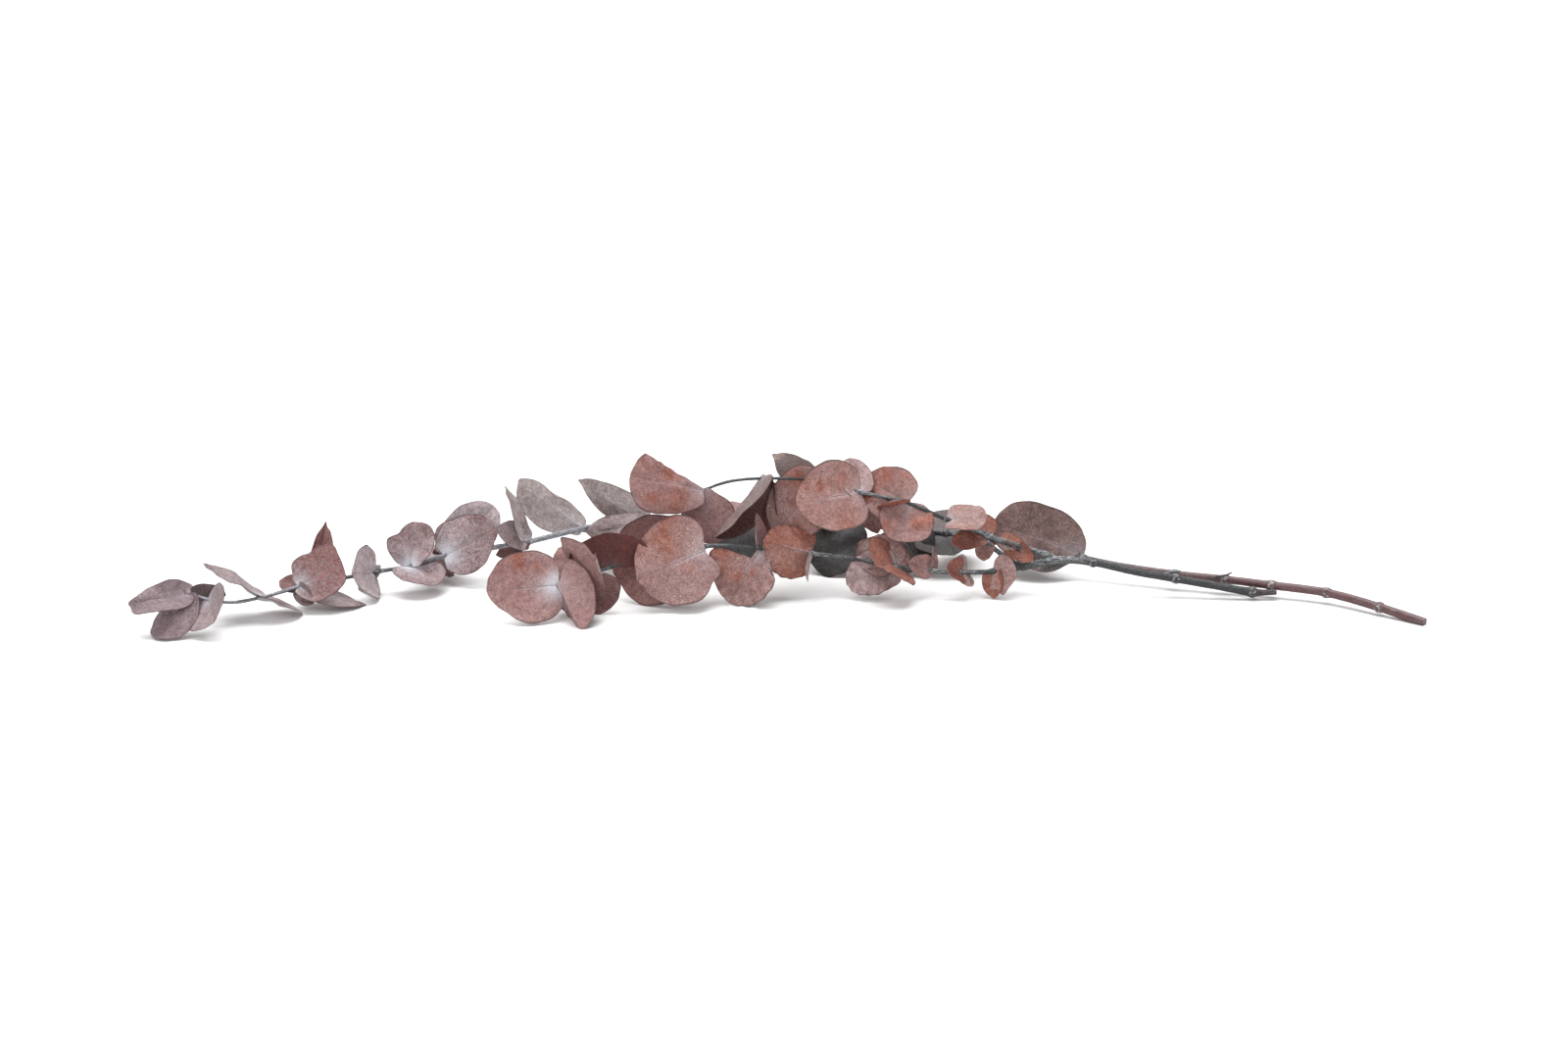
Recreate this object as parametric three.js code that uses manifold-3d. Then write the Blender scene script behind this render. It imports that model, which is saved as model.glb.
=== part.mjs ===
// A preserved eucalyptus branch: one long leafy stem, and a dark side branch that forks
// into an upper and a lower leafy twig. It lies on a table. Millimetres, +Z up.
//
// Places are set out as they look to someone in front of the branch who looks down a little:
// every point and direction is [right, up, back] in that person's eye, and seen() turns it
// into the part's own axes.

import * as THREE from 'three';
import { mergeVertices } from 'three/addons/utils/BufferGeometryUtils.js';
import Module from 'manifold-3d';

const wasm = await Module();
wasm.setup();

// ---- driving dimensions ---------------------------------------------------------------

const LOOK_DOWN = THREE.MathUtils.degToRad(16); // how far the eye looks down
const CENTRE = new THREE.Vector3(2.5, 9.5, 35);    // the point that the eye looks at
const BLADE = 0.7;          // thickness of a leaf
const STEM_SIDES = 6;
const STEM_STEP = 15;       // length of one straight run of a stem
const CURVE_STEPS = 60;     // how finely a stem's route is measured, for each of its points
const NODE_SWELL = 0.35;    // how much a stem thickens at a leaf node, of its radius
const AT_NODE = 0.5;        // how close to a leaf node still counts as at it
const JOIN_GAP = 0.3;       // clearance where one grown piece meets the next
const RIM_SIDES = 12;       // corners round a leaf
const SMALL_RIM_SIDES = 8;
const SMALL_LEAF = 20;      // leaves shorter than this have the fewer corners
const INNER_RING = 0.55;    // where the ring between a leaf's middle and rim lies
const HEART = 0.16;         // how far a leaf's two lobes reach back past its stalk, of its length
const HEART_WIDTH = 0.42;   // half-angle of the notch between the lobes
const EGG = 0.1;            // how much wider a leaf is near the stalk than near the tip
const NIB = 0.035;          // length of the small point at a leaf's tip, of its length
const NIB_SHARPNESS = 30;
const RIM_WAVE = 0.9;       // height of the ripple along a leaf's rim, give or take half of it
const SMALL_WAVE = 0.4;     // the ripple of a small leaf, of that
const FEWEST_WAVES = 2;     // ripples round a leaf, at least
const WAVE_CHOICES = 3;     // and how many counts there are to draw from
const FLAT = 1e-3;          // a bend below this angle counts as none
const SEED = 20261;
const SEED_STEP = 16807;    // the step and the range of the repeatable random source
const SEED_RANGE = 2147483647;
const TABLE = [1000, 600, 60];  // the block under the table's surface that trims the branch

// ---- stems: [right, up, back, radius, name of the leaf node there] ---------------------

const MAIN_STEM = [
    [315.7, -50.3, -53, 2.3],
    [296.3, -43.2, -38, 2.2, 'bare1'],
    [273.4, -36.4, -20, 2.2, 'bare2'],
    [246.9, -32.8, -10, 2.2, 'bare3'],
    [224.4, -29.2, -4, 2.1, 'bare4'],
    [200.0, -26.2, 3, 2.1, 'bare5'],
    [173.9, -21.6, 12, 2.0],
    [154.5, -18.0, 19, 2.0, 'm14'],
    [132.0, -14.4, 24, 2.0, 'm13'],
    [84.0, -7.0, 32, 1.9, 'm12'],
    [58.5, -3.8, 35, 1.9, 'm11b'],
    [30.7, -1.0, 37, 1.8, 'm11'],
    [-20.5, 2.0, 38, 1.7, 'm10'],
    [-71.5, 0.2, 33, 1.6, 'm9'],
    [-103.2, -4.0, 27, 1.5, 'm8'],
    [-131.7, -10.8, 20, 1.4, 'm7'],
    [-174.0, -18.1, 10, 1.3, 'm6'],
    [-191.0, -23.3, 2, 1.2, 'm5'],
    [-205.5, -25.8, -7, 1.1, 'm4'],
    [-242.7, -33.3, -30, 1.0, 'm3'],
    [-259.3, -38.2, -45, 0.9, 'm2'],
    [-273.8, -40.3, -56, 0.9],
    [-289.8, -36.0, -66, 0.8, 'm1'],
];

const SIDE_BRANCH = [
    [249.0, -37.2, -13.7, 2.7],
    [235.5, -37.4, -13.2, 2.5],
    [218.3, -34.2, -12, 2.2],
    [198.7, -29.8, -10, 2.1, 's2'],
    [179.0, -26.4, -9, 2.0],
    [156.7, -21.4, -8, 2.1, 's1'],
    [139.3, -20.0, -8, 2.3],
    [120.4, -23.8, -8, 1.9],
];

const SPUR = [
    [120.4, -23.8, -8, 1.6],
    [112.0, -18.2, -6, 1.5, 'v2'],
    [103.0, -11.2, -2.5, 1.4, 'v1'],
];

const UPPER_TWIG = [
    [139.3, -20.0, -8, 1.9],
    [134.0, -17.6, -7, 1.9],
    [119.5, -13.4, -6, 1.8, 'u8'],
    [103.0, -7.5, -7, 1.7, 'u7'],
    [82.5, 0.5, -9, 1.3, 'u6'],
    [62.7, 8.8, -8, 1.2, 'u5'],
    [38.8, 14.4, -6, 1.2, 'u4'],
    [18.9, 19.9, -5, 1.0, 'u3'],
    [-7.5, 21.4, -8, 0.9, 'u2'],
    [-27.3, 19.9, -9, 0.9],
    [-41.3, 15.4, -9, 0.8, 'u1'],
];

const LOWER_TWIG = [
    [120.4, -23.8, -8, 1.6],
    [106.0, -25.9, -8, 1.5, 'l10'],
    [90.5, -26.3, -9, 1.4, 'l9'],
    [74.5, -25.6, -10, 1.4, 'l8'],
    [56.6, -23.3, -11, 1.4, 'l7'],
    [35.2, -19.3, -13, 1.3],
    [13.9, -16.8, -15, 1.3, 'l6'],
    [-11.4, -13.8, -19, 1.2, 'l5'],
    [-39.9, -13, -24, 1.2, 'l4'],
    [-63.9, -18.7, -27, 1.1],
    [-87.1, -23.5, -32, 1.0, 'l3'],
    [-99.0, -28.3, -38, 0.9, 'l2'],
    [-111.6, -32.0, -46, 0.8, 'l1'],
];

// ---- leaves: [node, from stalk to tip, from midrib to one side, how it is bent] -----------
//
// Both directions are [right, up, back]. The second is to the right of the midrib when the
// leaf's upper face is looked at with the tip ahead. fold lifts each half towards that face,
// cup rolls it further towards its edge, curl bends the tip up, and twist turns the tip, all
// in degrees. heart replaces HEART.

const MAIN_LEAVES = [
    ['m1', [-28.5, -5, -4], [1.5, 8.6, 5], { cup: 20, fold: 8, nib: 0.08 }],
    ['m1', [-13.5, -22.4, -10], [-9.5, 3.5, 5], { cup: -25, curl: 10, egg: -0.2 }],
    ['m1', [13, 4, 14], [1, -7.5, 2], { cup: 25 }],
    ['m1', [16, -14, -9], [-9, -11.5, 2.8], { fold: 12, cup: 10, egg: -0.1 }],
    ['m2', [-27, 16, -1], [0.8, 1.2, 12], { cup: 14, fold: 6, curl: -8 }],
    ['m2', [20, -5.2, 8], [3, -3.0, -12], { cup: 8, heart: 0.3 }],
    ['m3', [22.5, 14.5, -8], [6, -12.5, -5], { cup: 12, fold: 5, egg: -0.12, wave: 1.6 }],
    ['m3', [9, 30, 10], [7, -2.5, 3], { fold: 14, egg: 0.25, nib: 0.1, heart: 0.05 }],
    ['m3', [-10, 3, 2], [1, 4.5, 3], { cup: 20 }],
    ['m3', [8, -8, -5], [-4, -3, 3], { fold: 20 }],
    ['m3', [34, -8, 8], [3, -4.5, -11], { cup: -10, curl: 8, nib: 0.1 }],
    ['m4', [-10.5, 1, -20], [1.5, 14.5, 2], { fold: 16, heart: 0.2, cup: 8 }],
    ['m4', [-12, -9, 10], [-3, 1.5, 5], { cup: 20 }],
    ['m5', [0.3, 22.5, 3], [12.4, 1, -2], { cup: 12, heart: 0.1, egg: -0.2, fold: 6, wave: 1.4 }],
    ['m5', [9, -9.5, -14], [-14.5, 0, -3], { cup: 14 }],
    ['m6', [-6, -4, 14], [-4, 7, 2], { cup: 10 }],
    ['m6', [27, 10, -7], [3.5, -15.2, -3], { cup: 10, fold: 6, egg: -0.05, wave: 1.5 }],
    ['m6', [23.5, 25.5, 8], [13.5, -6.5, 2], { cup: 10, egg: -0.1 }],
    ['m7', [-14, 4, -5], [2.5, 7.5, 6], { cup: 16 }],
    ['m7', [-17, -7, 5], [2, 5, 4], { cup: 12 }],
    ['m7', [-12, 28, 3], [0.8, 0.3, 12], { cup: 12, curl: -10 }],
    ['m8', [-34, 22.5, 4], [-7.5, -12.5, 5], { cup: 18, fold: 6, egg: -0.15 }],
    ['m9', [-35.5, 18, 4], [-6.5, -11, 6], { cup: 24, curl: 10, egg: 0.12, nib: 0.09 }],
    ['m9', [-28, -4.5, -8], [1, 7, 7], { cup: 16 }],
    ['m10', [-5, -27, -12], [-13, 1, 4], { cup: 14 }],
    ['m11', [-8, -28, -12], [-15, 4, 4], { cup: 14 }],
    ['m12', [-4, 12, 12], [17, 4, 2], { cup: 12 }],
    ['m12', [4, -10, -14], [-18, -1, 2], { cup: 14 }],
    ['m11b', [14, -21, -13], [-15, -4, 2], { cup: 14 }],
    ['m13', [-14, 16, 22], [12, 5, 5], { cup: 14 }],
    ['m14', [-44, 15.5, 6], [6, 16.8, 4], { cup: 18, curl: -10, egg: -0.12 }],
    ['m10', [6, 6, 34], [16, -2, 0], { cup: 16 }],
    ['m11', [-12, 2, 33], [14, 3, 5], { cup: 14, curl: 14 }],
    ['m8', [10, -6, 30], [14, -2, -5], { cup: 14 }],
    ['m12', [10, 4, 32], [14, -2, -4], { cup: 14, curl: -12 }],
    ['m6', [-8, 4, 26], [12, 2, 4], { cup: 14 }],
];

const UPPER_LEAVES = [
    ['u1', [-36.5, 7.4, -7], [-4, 15.5, 3], { cup: 12, fold: 6, egg: -0.22 }],
    ['u1', [6, -27, 3], [-12.5, -4, 4], { cup: -12, fold: 6, egg: -0.1 }],
    ['u2', [-26.5, -29, -6], [-4.4, 3.7, -13.9], { fold: 47 }],
    ['u2', [2, -32, 9], [-6, 1, 8], { fold: 14 }],
    ['u3', [-27, -24, 9], [-12, 14, 3], { cup: 16 }],
    ['u3', [-21, 13.5, 5], [4, 7, 7], { cup: -34, curl: -14, nib: 0.1 }],
    ['u4', [-32, -6.4, -10], [-2, 18.3, 4], { cup: 12 }],
    ['u4', [-8, 17.5, 7], [9, 3.5, 3], { cup: 10 }],
    ['u4', [9, -20, 4], [-7, -3, 3], { cup: 12 }],
    ['u5', [-21.5, 12.5, 8], [13, 6.5, -1], { cup: 12 }],
    ['u5', [-15.5, -2, -4], [0.7, 2.8, -7], { cup: 14 }],
    ['u5', [-7, -19.5, -9], [-14.2, 3.5, -2], { cup: 14, egg: -0.1 }],
    ['u6', [20, 0.6, -6], [0.5, -7, -8], { cup: 16 }],
    ['u7', [-5, 10, 6], [7, 2, 1], { cup: 18 }],
    ['u7', [-17, -3.5, -7], [0.5, 5, 6], { cup: 34, curl: 24, heart: 0.06 }],
    ['u8', [-9, 6, 4], [3, 2, 3], { cup: 24 }],
    ['u8', [6, -7, -6], [-3, -3, 2], { cup: 20 }],
];

const SPUR_LEAVES = [
    ['v1', [-1.5, -9, -3], [-5, 0.5, 2], { cup: 20 }],
    ['v2', [7, 0.5, -7], [1.5, -2.5, -1.5], { cup: 24 }],
];

const LOWER_LEAVES = [
    ['l1', [-35, -3, -6], [1, 18.5, 4], { cup: 12 }],
    ['l1', [13.5, -17.2, -11], [10, 9, -9], { fold: 44, heart: 0.5 }],
    ['l2', [9, 9, -18], [9.5, -15.5, -2], { cup: 16 }],
    ['l2', [3, -20, -5], [-17, -2, 1], { cup: 14 }],
    ['l2', [-13, 14, 10], [9, 8, 2], { cup: 12 }],
    ['l3', [-1, 17, -3], [20, -2, 5], { cup: 12, curl: 8 }],
    ['l4', [-45, -12, 5], [5, 22, 4], { cup: 22, heart: 0.05, egg: -0.22 }],
    ['l4', [-34.5, -14.5, -9], [8, 21, 3], { cup: 10, heart: 0.26 }],
    ['l5', [-16, -27.5, -3], [-17.6, 6.5, 3], { fold: 12, cup: 14, wave: 1.6 }],
    ['l5', [-1, 17, 2], [3, 0, 8], { cup: 20 }],
    ['l6', [-23.5, 6.2, -9], [-3.5, -14, -5.5], { fold: 22 }],
    ['l6', [-2.5, -13.5, -2], [1, 0.3, 7], { cup: 16 }],
    ['l7', [-11, 0.5, -18], [-12, 12.5, 2], { fold: 14, cup: 12, heart: 0.3, egg: -0.1 }],
    ['l7', [-25, -8, -3], [-4, 11.5, 3], { cup: 16 }],
    ['l7', [-18, 12, 7], [6, 10, 4], { cup: 20 }],
    ['l7', [-1.5, 11.5, 6], [8, 1, 1], { cup: 20 }],
    ['l8', [1, 12, 1], [2, -0.5, 4], { fold: 20 }],
    ['l8', [-5, 3, -8], [5, 5, 0], { fold: 20 }],
    ['l9', [-7.5, 1.5, -9], [-1, 7.8, 1], { cup: 24, fold: 8 }],
    ['l9', [0, 9, 3], [3.5, 0, -1], { cup: 30 }],
    ['l9', [4, -6.5, -3], [2.8, 1.4, 2], { cup: 20 }],
    ['l10', [11, -3, -7], [0, -10, -2], { cup: 22 }],
    ['l10', [0.5, -13.0, -5], [-5.5, 0, 2], { cup: 24 }],
];

// ---- making the shapes ------------------------------------------------------------------

function seen([right, up, back]) {
    const s = Math.sin(LOOK_DOWN);
    const c = Math.cos(LOOK_DOWN);
    return new THREE.Vector3(right, up * s + back * c, up * c - back * s);
}

// A small repeatable random source: the same numbers on every run.
function seeded(seed) {
    let state = seed;
    return () => {
        state = (state * SEED_STEP) % SEED_RANGE;
        return state / SEED_RANGE;
    };
}

function toSolid(geometry) {
    const bare = geometry.clone();
    bare.deleteAttribute('normal');
    bare.deleteAttribute('uv');
    const merged = mergeVertices(bare, 1e-4);
    return new wasm.Manifold(new wasm.Mesh({
        numProp: 3,
        vertProperties: new Float32Array(merged.attributes.position.array),
        triVerts: new Uint32Array(merged.index.array),
    }));
}

function toGeometry(solid) {
    const mesh = solid.getMesh();
    const geometry = new THREE.BufferGeometry();
    geometry.setAttribute('position', new THREE.BufferAttribute(mesh.vertProperties, 3));
    geometry.setIndex(new THREE.BufferAttribute(mesh.triVerts, 1));
    geometry.computeVertexNormals();
    return geometry;
}

function surface(points, triangles) {
    const geometry = new THREE.BufferGeometry();
    geometry.setFromPoints(points);
    geometry.setIndex(triangles);
    return geometry;
}

// The centre line of a stem, with the distance along it of each point of its route.
function stemLine(route) {
    const points = route.map((row) => seen(row).add(CENTRE));
    const curve = new THREE.CatmullRomCurve3(points, false, 'centripetal');
    curve.arcLengthDivisions = CURVE_STEPS * (points.length - 1);
    const lengths = curve.getLengths();
    const marks = points.map((_, i) => lengths[CURVE_STEPS * i]);
    return { curve, marks, length: lengths.at(-1) };
}

// Where a stem's rings of points stand: at its ends, at its leaf nodes and evenly between.
function ringPlaces(nodes, length) {
    const places = [0, length];
    for (const node of nodes) {
        if (node > AT_NODE && node < length - AT_NODE) places.push(node);
    }
    for (let s = STEM_STEP; s < length - STEM_STEP / 2; s += STEM_STEP) {
        if (nodes.every((node) => Math.abs(node - s) > STEM_STEP / 2)) places.push(s);
    }
    return places.sort((a, b) => a - b);
}

// The radius of a stem at a distance along it: it tapers from point to point of its route.
function stemRadius(route, marks, nodes, s) {
    let i = 0;
    while (i < marks.length - 2 && s > marks[i + 1]) i++;
    const share = THREE.MathUtils.clamp((s - marks[i]) / (marks[i + 1] - marks[i]), 0, 1);
    const plain = THREE.MathUtils.lerp(route[i][3], route[i + 1][3], share);
    const swell = nodes.some((node) => Math.abs(node - s) < AT_NODE) ? NODE_SWELL : 0;
    return plain * (1 + swell);
}

// A round stem that tapers along its route and swells a little at each leaf node.
function stemGeometry(route, extra = 0) {
    const { curve, marks, length } = stemLine(route);
    const nodes = marks.filter((_, i) => route[i][4] !== undefined);
    const places = ringPlaces(nodes, length);
    const points = [];
    let across = new THREE.Vector3(0, 0, 1);
    for (const s of places) {
        const middle = curve.getPointAt(s / length);
        const along = curve.getTangentAt(s / length);
        across = across.clone().addScaledVector(along, -across.dot(along)).normalize();
        const other = along.clone().cross(across);
        const radius = stemRadius(route, marks, nodes, s) + extra;
        for (let k = 0; k < STEM_SIDES; k++) {
            const turn = 2 * Math.PI * k / STEM_SIDES;
            points.push(middle.clone()
                .addScaledVector(across, radius * Math.cos(turn))
                .addScaledVector(other, radius * Math.sin(turn)));
        }
    }
    return surface(points, tubeTriangles(places.length));
}

function tubeTriangles(rings) {
    const triangles = [];
    const last = (rings - 1) * STEM_SIDES;
    for (let first = 0; first < last; first += STEM_SIDES) {
        for (let k = 0; k < STEM_SIDES; k++) {
            const a = first + k;
            const b = first + (k + 1) % STEM_SIDES;
            triangles.push(a, b, a + STEM_SIDES, b, b + STEM_SIDES, a + STEM_SIDES);
        }
    }
    for (let k = 1; k < STEM_SIDES - 1; k++) {
        triangles.push(0, k + 1, k);
        triangles.push(last, last + k, last + k + 1);
    }
    return triangles;
}

// A leaf's flat outline, as [across, along] shares of its half-width and its length.
// Angle 0 is the tip and PI the notch where the stalk sits.
function leafOutline(angle, { heart, egg, nib }) {
    const fromStalk = (Math.PI - Math.abs(angle)) / HEART_WIDTH;
    const notch = heart * Math.exp(-fromStalk * fromStalk);
    const point = nib * Math.exp(-NIB_SHARPNESS * angle * angle);
    const along = (1 - heart) / 2 + (1 + heart) / 2 * Math.cos(angle) + notch + point;
    const across = Math.sin(angle) * (1 - egg * Math.cos(angle));
    return [across, along];
}

// Bends the flat blade: x runs across and y along the midrib, in millimetres.
function bendLeaf(x, y, lift, leaf) {
    const share = Math.abs(x) / leaf.halfWidth;
    const edge = leaf.fold + leaf.cup * share;
    let side;
    let rise;
    if (Math.abs(leaf.cup) > FLAT) {
        side = (Math.sin(edge) - Math.sin(leaf.fold)) * leaf.halfWidth / leaf.cup;
        rise = (Math.cos(leaf.fold) - Math.cos(edge)) * leaf.halfWidth / leaf.cup;
    } else {
        side = Math.abs(x) * Math.cos(leaf.fold);
        rise = Math.abs(x) * Math.sin(leaf.fold);
    }
    side *= Math.sign(x);
    rise += lift;
    const bend = leaf.curl * y / leaf.length;
    const turn = leaf.twist * y / leaf.length;
    let along = y;
    let height = 0;
    if (Math.abs(leaf.curl) > FLAT) {
        along = leaf.length / leaf.curl * Math.sin(bend);
        height = leaf.length / leaf.curl * (1 - Math.cos(bend));
    }
    const turnedSide = side * Math.cos(turn) - rise * Math.sin(turn);
    const turnedRise = side * Math.sin(turn) + rise * Math.cos(turn);
    return new THREE.Vector3(
        turnedSide,
        along - turnedRise * Math.sin(bend),
        height + turnedRise * Math.cos(bend),
    );
}

// A leaf's bends, in radians, and its real size: a curled leaf is longer than its chord.
function leafForm(chord, side, bends) {
    const turned = (name) => THREE.MathUtils.degToRad(bends[name] ?? 0);
    const leaf = {
        fold: turned('fold'), cup: turned('cup'), curl: turned('curl'), twist: turned('twist'),
        heart: bends.heart ?? HEART, egg: bends.egg ?? EGG, nib: bends.nib ?? NIB,
        halfWidth: side.length(), length: chord.length(),
    };
    if (leaf.curl !== 0) leaf.length *= (leaf.curl / 2) / Math.sin(leaf.curl / 2);
    return leaf;
}

// The ripple along a leaf's rim, drawn from the random source.
function rimRipple(size, small, random) {
    return {
        height: size * (0.5 + random()) * (small ? SMALL_WAVE : 1),
        count: FEWEST_WAVES + Math.floor(WAVE_CHOICES * random()),
        turn: 2 * Math.PI * random(),
    };
}

// One leaf as a closed blade: rings of points from the middle to the rim, on both faces,
// cut into triangles the same way on each.
function leafGeometry(base, [, reach, half, bends], random) {
    const chord = seen(reach);
    const side = seen(half);
    const leaf = leafForm(chord, side, bends);
    const small = chord.length() < SMALL_LEAF;
    const ripple = rimRipple(bends.wave ?? RIM_WAVE, small, random);

    const forward = chord.normalize();
    side.addScaledVector(forward, -side.dot(forward)).normalize();
    const up = side.clone().cross(forward);
    const ahead = forward.clone().applyAxisAngle(side, -leaf.curl / 2);
    const above = up.applyAxisAngle(side, -leaf.curl / 2);

    const middleAlong = (1 - leaf.heart) / 2;
    const place = (ring, angle) => {
        const [across, along] = leafOutline(angle, leaf);
        const x = across * ring * leaf.halfWidth;
        const y = (middleAlong + (along - middleAlong) * ring) * leaf.length;
        const lift = ripple.height * ring * ring * Math.sin(ripple.count * angle + ripple.turn);
        const bent = bendLeaf(x, y, lift, leaf);
        return base.clone()
            .addScaledVector(side, bent.x)
            .addScaledVector(ahead, bent.y)
            .addScaledVector(above, bent.z);
    };
    const sides = small ? SMALL_RIM_SIDES : RIM_SIDES;
    const sheet = [place(0, 0)];
    for (const ring of [INNER_RING, 1]) {
        for (let k = 0; k < sides; k++) sheet.push(place(ring, 2 * Math.PI * k / sides - Math.PI));
    }
    return thicken(sheet, sides);
}

// Gives a sheet of two rings round one middle point the thickness of a blade.
function thicken(sheet, sides) {
    const faces = [];
    const next = (k) => (k + 1) % sides;
    for (let k = 0; k < sides; k++) {
        const inner = 1 + k;
        const innerNext = 1 + next(k);
        const outer = inner + sides;
        const outerNext = innerNext + sides;
        faces.push([0, inner, innerNext], [inner, outer, outerNext], [inner, outerNext, innerNext]);
    }
    const normals = sheet.map(() => new THREE.Vector3());
    for (const [a, b, c] of faces) {
        const normal = sheet[b].clone().sub(sheet[a]).cross(sheet[c].clone().sub(sheet[a]));
        for (const i of [a, b, c]) normals[i].add(normal);
    }
    const points = [];
    for (const offset of [BLADE / 2, -BLADE / 2]) {
        sheet.forEach((p, i) => points.push(p.clone().addScaledVector(normals[i].normalize(), offset)));
    }
    const under = sheet.length;
    const triangles = [];
    for (const [a, b, c] of faces) triangles.push(a, b, c, under + a, under + c, under + b);
    for (let k = 0; k < sides; k++) {
        const a = 1 + sides + k;
        const b = 1 + sides + next(k);
        triangles.push(a, under + a, under + b, a, under + b, b);
    }
    return surface(points, triangles);
}

// ---- putting a leafy stem together --------------------------------------------------------

const random = seeded(SEED);

// Where each leaf node of the given stems lies.
function nodePlaces(routes) {
    const places = new Map();
    for (const row of routes.flat()) {
        if (row[4] !== undefined) places.set(row[4], seen(row).add(CENTRE));
    }
    return places;
}

function joined(solids) {
    return solids.reduce((a, b) => a.add(b));
}

// Stems with their leaves grown on: each leaf starts in the middle of its stem.
function leafySolid(routes, leaves) {
    const places = nodePlaces(routes);
    const stems = routes.map((route) => toSolid(stemGeometry(route)));
    const blades = leaves.map((row) => toSolid(leafGeometry(places.get(row[0]), row, random)));
    return joined([...stems, ...blades]);
}

// What dips below the table is cut off flat, so the branch rests on small true flats.
function tableBlock() {
    const block = new THREE.BoxGeometry(...TABLE);
    block.translate(0, 0, -TABLE[2] / 2);
    return toSolid(block);
}

const leafMaterial = new THREE.MeshStandardMaterial({ color: 0x9c736c, roughness: 0.7, metalness: 0 });
const woodMaterial = new THREE.MeshStandardMaterial({ color: 0x44484a, roughness: 0.6, metalness: 0 });

const branch = new THREE.Group();
const table = tableBlock();

function addNode(name, solid, material) {
    const mesh = new THREE.Mesh(toGeometry(solid.subtract(table)), material);
    mesh.name = name;
    branch.add(mesh);
}

const mainStemRoom = toSolid(stemGeometry(MAIN_STEM, JOIN_GAP));
const sideBranchRoom = toSolid(stemGeometry(SIDE_BRANCH, JOIN_GAP));
const sideBranch = toSolid(stemGeometry(SIDE_BRANCH)).subtract(mainStemRoom);
const upperTwig = leafySolid([UPPER_TWIG], UPPER_LEAVES).subtract(sideBranchRoom);
const lowerTwig = leafySolid([LOWER_TWIG, SPUR], [...LOWER_LEAVES, ...SPUR_LEAVES]).subtract(sideBranchRoom);
const mainStem = leafySolid([MAIN_STEM], MAIN_LEAVES);

addNode('main_leafy_stem', mainStem, leafMaterial);
addNode('side_branch', sideBranch, woodMaterial);
addNode('upper_leafy_twig', upperTwig, leafMaterial);
addNode('lower_leafy_twig', lowerTwig, leafMaterial);

export default branch;
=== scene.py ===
"""A preserved eucalyptus branch that lies on a pale table.

One long leafy stem carries a dark side branch, which forks into an upper and a lower leafy
twig.  Places are set out as (right, up, back) in millimetres, in the eye of someone who
stands in front of the branch and looks down a little, and ``Eye`` turns them into the
frame's own axes, in metres.
"""

import logging
import math
from collections.abc import Callable
from dataclasses import dataclass, field
from enum import Enum
from functools import reduce

import bpy
import numpy as np
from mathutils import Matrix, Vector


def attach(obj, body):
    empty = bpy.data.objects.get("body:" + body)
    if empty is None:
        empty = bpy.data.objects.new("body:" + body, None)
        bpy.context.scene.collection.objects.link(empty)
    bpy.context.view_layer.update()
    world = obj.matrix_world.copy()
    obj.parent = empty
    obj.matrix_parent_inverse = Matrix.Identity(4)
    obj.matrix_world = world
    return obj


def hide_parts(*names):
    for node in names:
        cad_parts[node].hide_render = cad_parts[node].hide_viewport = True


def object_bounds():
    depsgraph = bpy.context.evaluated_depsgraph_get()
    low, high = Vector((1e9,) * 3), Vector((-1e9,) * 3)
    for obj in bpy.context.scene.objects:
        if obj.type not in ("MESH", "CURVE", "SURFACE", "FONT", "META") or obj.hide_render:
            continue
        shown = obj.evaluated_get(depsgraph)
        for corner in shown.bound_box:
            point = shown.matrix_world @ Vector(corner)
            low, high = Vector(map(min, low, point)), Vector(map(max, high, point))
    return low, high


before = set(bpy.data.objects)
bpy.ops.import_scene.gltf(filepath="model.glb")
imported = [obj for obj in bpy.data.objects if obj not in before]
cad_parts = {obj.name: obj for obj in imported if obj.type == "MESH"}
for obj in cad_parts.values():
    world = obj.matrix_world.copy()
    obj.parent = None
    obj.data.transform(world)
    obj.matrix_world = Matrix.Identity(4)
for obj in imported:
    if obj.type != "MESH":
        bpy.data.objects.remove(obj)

CAD_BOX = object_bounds()
MM = 0.001
FLAT_ANGLE = 1e-3  # radians: a blade that bends less is worked out as flat
TINY = 1e-9  # metres: the least length that a direction is divided by
FULL_TURN = 2 * math.pi
RIM_SEED = 20261
FINE_SEED = 11
LARGE_COLUMNS = (0, 0.025, 0.06, 0.12, 0.22, 0.35, 0.5, 0.65, 0.8, 0.92, 1)
LARGE_ROWS = 48
SMALL_COLUMNS = (0, 0.06, 0.18, 0.4, 0.65, 0.88, 1)
SMALL_ROWS = 24

log = logging.getLogger("branch")

Seen = tuple[float, float, float]
Colour = tuple[float, float, float]
Socket = bpy.types.NodeSocket
Sockets = bpy.types.bpy_prop_collection
Value = Socket | float | Colour
Inputs = dict[str | int, Value]


# ---- the eye that the places are set out in ------------------------------------------------


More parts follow.
